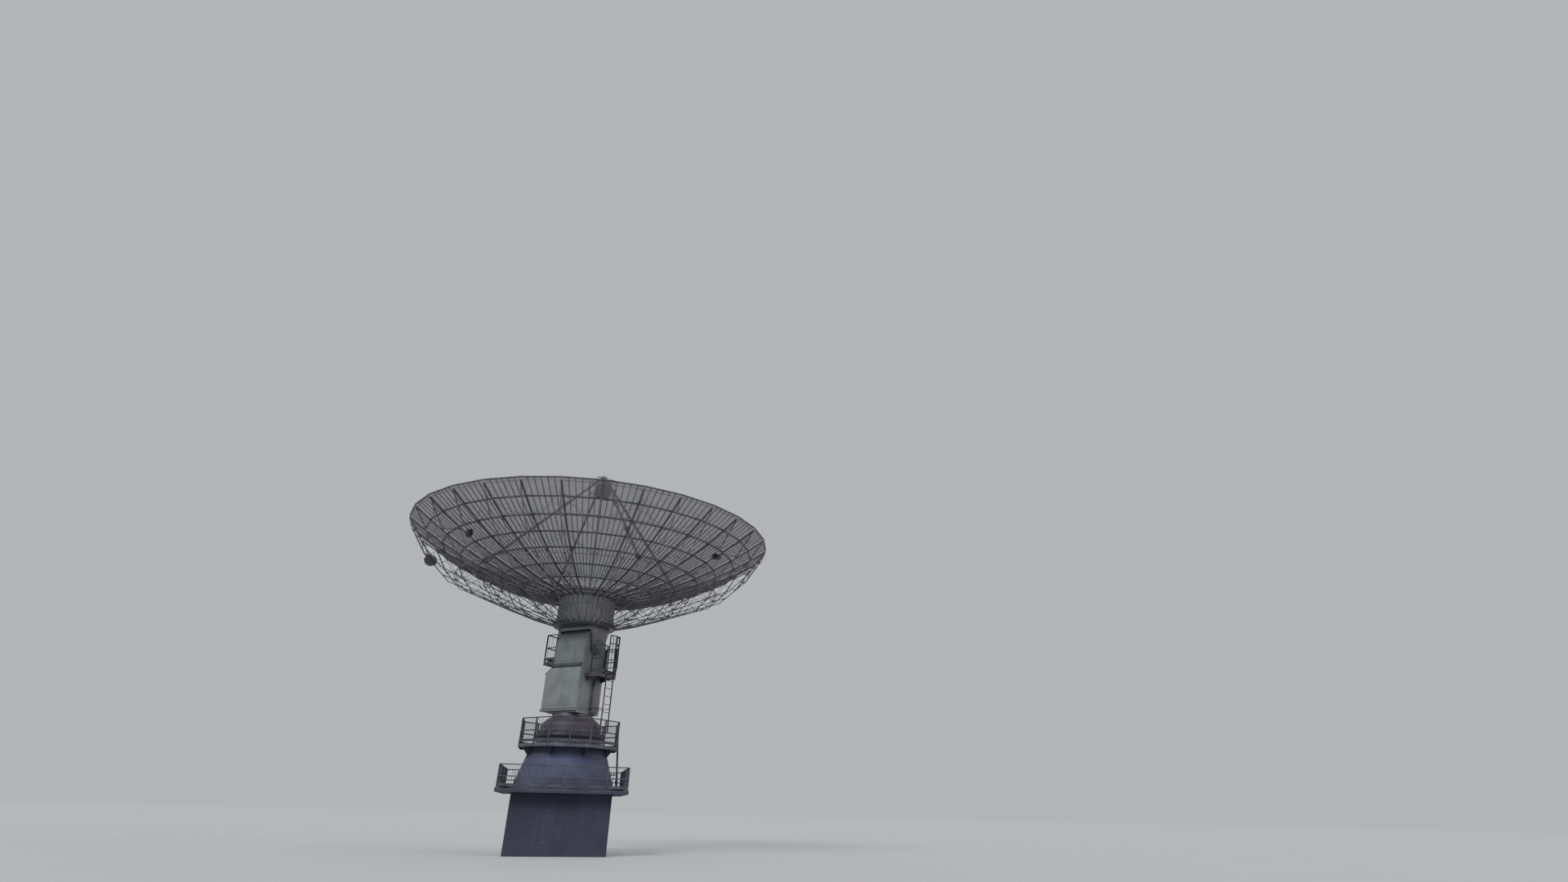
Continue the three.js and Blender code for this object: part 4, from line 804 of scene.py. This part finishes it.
def trim(bm, point, way):
    """Cuts off what lies past a point on one side, closes the cut and keeps the rest."""
    cut = bmesh.ops.bisect_plane(bm, geom=bm.verts[:] + bm.edges[:] + bm.faces[:], plane_co=point, plane_no=way,
                                 clear_outer=True)
    edges = [part for part in cut["geom_cut"] if isinstance(part, bmesh.types.BMEdge)]
    bmesh.ops.holes_fill(bm, edges=edges, sides=0)


def quarter_of(bm, number):
    """Keeps one quarter of what was spun round Z, and closes its two cut ends."""
    first = STOW_TURN + number * math.pi / 2
    for angle, sign in ((first + 0.0002, -1), (first + math.pi / 2 - 0.0002, 1)):
        trim(bm, (0, 0, 0), Vector((-math.sin(angle), math.cos(angle), 0)) * sign)


SHEET, FOLD, SLAT_WIDTH, SLAT_DEPTH = 0.010, 0.006, 0.031, 0.022
surface = [(r, VERTEX + r * r / FOUR_FOCAL_LENGTHS) for r in STATIONS]
for number in range(4):
    bm = bmesh.new()
    hoop(bm, surface + [(r, z - SHEET) for r, z in reversed(surface)])
    quarter_of(bm, number)
    sheet = settle(bm, f"reflector_mesh_{number + 1}", "dish", gauze)
    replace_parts(sheet, f"reflector_quarter_{number + 1}")
    bm = bmesh.new()
    for r in RINGS + [7.478]:
        z, w = VERTEX + bowl(r) - 0.0125, 0.025 if r < 7 else 0.021
        drop = 0.048 if r < 7 else 0.030
        hoop(bm, [(r - w, z), (r + w, z), (r + w, z - FOLD), (r - w + FOLD, z - FOLD), (r - w + FOLD, z - drop),
                  (r - w, z - drop)])
    quarter_of(bm, number)
    settle(bm, f"reflector_purlins_{number + 1}", "dish", purlin_metal)
    bm = bmesh.new()
    for bay in range(8 * number, 8 * number + 9):
        for step in (-2, -1, 0, 1, 2):
            if (step < 0 and bay == 8 * number) or (step >= 0 and bay == 8 * number + 8):
                continue
            way = Matrix.Rotation(STOW_TURN + bay * pitch + step * pitch / 6, 3, "Z")
            stretch = math.cos(pitch / 2) / math.cos(step * pitch / 6)
            rings = STATIONS[0 if step == 0 else 2:-1] + [7.47]
            for r0, r1 in zip(rings, rings[1:]):
                ends = [way @ Vector((r * stretch, 0, VERTEX + bowl(r) - 0.024)) for r in (r0, r1)]
                bar(bm, *ends, SLAT_WIDTH, SLAT_DEPTH)
    settle(bm, f"reflector_slats_{number + 1}", "dish", purlin_metal)

# VERTEX PANEL AND RIM: a solid dished plate closes the middle of the bowl, screwed down round its edge,
# and a thin tube ties the trusses' tips under the rim.
rework("vertex_panel", "vertex_dish", "dish", purlin_metal)
RIM, RIM_HEIGHT, RIM_TUBE = 7.468, 2.400, 0.014
angles = [math.tau * i / 8 for i in range(8)]
bm = bmesh.new()
hoop(bm, [(RIM + RIM_TUBE * math.cos(a), VERTEX + RIM_HEIGHT + RIM_TUBE * math.sin(a)) for a in angles])
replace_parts(settle(bm, "rim_tie_tube", "dish", lattice), "rim_tube")
SCREW_CIRCLE = 1.10
screw_foot = VERTEX + SCREW_CIRCLE ** 2 / FOUR_FOCAL_LENGTHS - 0.004
bm = bmesh.new()
for k in range(24):
    facing = Matrix.Rotation(math.tau * k / 24, 3, "Z")
    bolt(bm, facing @ Vector((SCREW_CIRCLE, 0, screw_foot)), (0, 0, 1), 0.010)
hoop(bm, [(0.30, VERTEX + 0.004), (0.33, VERTEX + 0.004), (0.33, VERTEX + 0.026), (0.30, VERTEX + 0.026)], first=0.1)
settle(bm, "vertex_panel_bolts", "dish", purlin_metal)

# FEED LEGS: four steel tubes that stand on the reflector and meet over its focus, flanged in two places,
# bolted at the foot, with the receiver's cable pipe clipped to one.
leg_paint = painted("leg_grey_paint", tint(0.38, 0.38, 0.39), tint(0.28, 0.28, 0.29), 0.42, 0.15)
rework("feed_head", "feed_junction_and_rod", "dish", leg_paint, 0.005, 50)
foot, aim = Vector((4.40, 0, VERTEX + 0.8899)), Vector((0.30, 0, VERTEX + 5.40))
LEG_TURN, LEG_RADIUS, HEAD_HALF, BOWL_SLOPE = math.radians(22.5), 0.055, 0.1103, 0.3713
way = (aim - foot).normalized()
sole = Matrix.Translation(foot) @ Matrix.Rotation(-math.atan(BOWL_SLOPE), 4, "Y")
for k in range(4):
    facing = Matrix.Rotation(LEG_TURN + k * math.pi / 2, 4, "Z")
    bm = bmesh.new()
    rod(bm, foot - way * 0.1, aim + way * 0.45, LEG_RADIUS, 24)
    trim(bm, sole @ Vector((0, 0, 0.008)), sole.to_3x3() @ Vector((0, 0, -1)))
    trim(bm, Vector((HEAD_HALF, 0, 0)), Vector((-1, 0, 0)))
    box(bm, (-0.11, -0.11, 0), (0.11, 0.11, 0.016), sole, 0.003)
    for x, y in ((-0.085, -0.085), (0.085, -0.085), (-0.085, 0.085), (0.085, 0.085)):
        bolt(bm, sole @ Vector((x, y, 0.016)), sole.to_3x3() @ Vector((0, 0, 1)), 0.012, 0.014)
    bmesh.ops.transform(bm, matrix=facing, verts=bm.verts)
    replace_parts(settle(bm, f"feed_tube_{k + 1}", "dish", leg_paint, 28), f"feed_leg_{k + 1}")
around = between(foot, aim)[0].to_3x3()
bm = bmesh.new()
for k in range(4):
    others = set(bm.verts)
    for share in (0.34, 0.67):
        joint = foot.lerp(aim, share)
        for side in (-1, 1):
            rod(bm, joint + way * 0.002 * side, joint + way * 0.022 * side, 0.095, 32)
        for i in range(6):
            off = around @ Matrix.Rotation(i * math.pi / 3, 3, "Z") @ Vector((0.078, 0, 0))
            rod(bm, joint + off - way * 0.036, joint + off + way * 0.036, 0.010, 6)
    if k == 1:
        above_leg = around @ Vector((0, 0.078, 0))
        rod(bm, foot + way * 0.3 + above_leg, aim - way * 0.25 + above_leg, 0.016)
        for i in range(9):
            clip = foot.lerp(aim, 0.1 + 0.1 * i)
            bar(bm, clip + above_leg * 0.6 - way * 0.02, clip + above_leg * 0.6 + way * 0.02, 0.05, 0.075)
    facing = Matrix.Rotation(LEG_TURN + k * math.pi / 2, 4, "Z")
    bmesh.ops.transform(bm, matrix=facing, verts=[vert for vert in bm.verts if vert not in others])
settle(bm, "feed_leg_flanges", "dish", leg_paint)

# FEED DRUM AND CAGE: the receiver's round sheet housing, banded and bolted, with a corrugated horn below
# it, inside an open cage of light tube that hangs from the head.
feed_paint = painted("feed_drum_grey_paint", tint(0.31, 0.305, 0.32), tint(0.22, 0.215, 0.23), 0.45, 0.1)
steps = [(0.205 - 0.0165 * i, 4.770 + 0.0225 * i) for i in range(8)]
horn = [corner for (r0, z0), (r1, z1) in zip(steps, steps[1:]) for corner in ((r0, z0), (r0, z1))]
bm = bmesh.new()
hoop(bm, [(r, VERTEX + z) for r, z in [(0.002, 4.93)] + horn[::-1] + [
    (0.335, 4.77), (0.343, 4.778), (0.343, 5.135), (0.335, 5.152), (0.155, 5.395), (0.145, 5.402), (0.060, 5.430),
    (0.060, 5.5147), (0.002, 5.5147)]], 64)
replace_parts(settle(bm, "feed_housing", "dish", feed_paint, 20), "feed_drum")
bm = bmesh.new()
for z in (4.80, 4.96, 5.12):
    z += VERTEX
    hoop(bm, [(0.342, z - 0.016), (0.350, z - 0.016), (0.350, z + 0.016), (0.342, z + 0.016)], 64)
    for k in range(12):
        way = Vector((math.cos(math.tau * k / 12), math.sin(math.tau * k / 12), 0))
        bolt(bm, Vector((0, 0, z)) + way * 0.346, way, 0.008, 0.012)
settle(bm, "feed_drum_bands", "dish", feed_paint)
bm = bmesh.new()
low, high = VERTEX + 4.80, VERTEX + 5.50
corners = [Matrix.Rotation(LEG_TURN + math.pi / 4 + k * math.pi / 2, 3, "Z") @ Vector((0.60, 0, 0)) for k in range(4)]
up = Vector((0, 0, 1))
for k in range(4):
    here, there = corners[k - 1], corners[k]
    rod(bm, here + up * low, here + up * high, 0.016)
    rod(bm, here + up * high, here * 0.16 + up * (high + 0.09), 0.014)
    for z in (low, low + 0.14, high):
        rod(bm, here + up * z, there + up * z, 0.014, 6)
    for share in (0.25, 0.5, 0.75):
        middle = here.lerp(there, share)
        rod(bm, middle + up * low, middle + up * (low + 0.14), 0.009, 6)
    rod(bm, here + up * (low + 0.14), here * 0.58 + up * (low + 0.14), 0.012, 6)
settle(bm, "feed_cage", "dish", leg_paint)
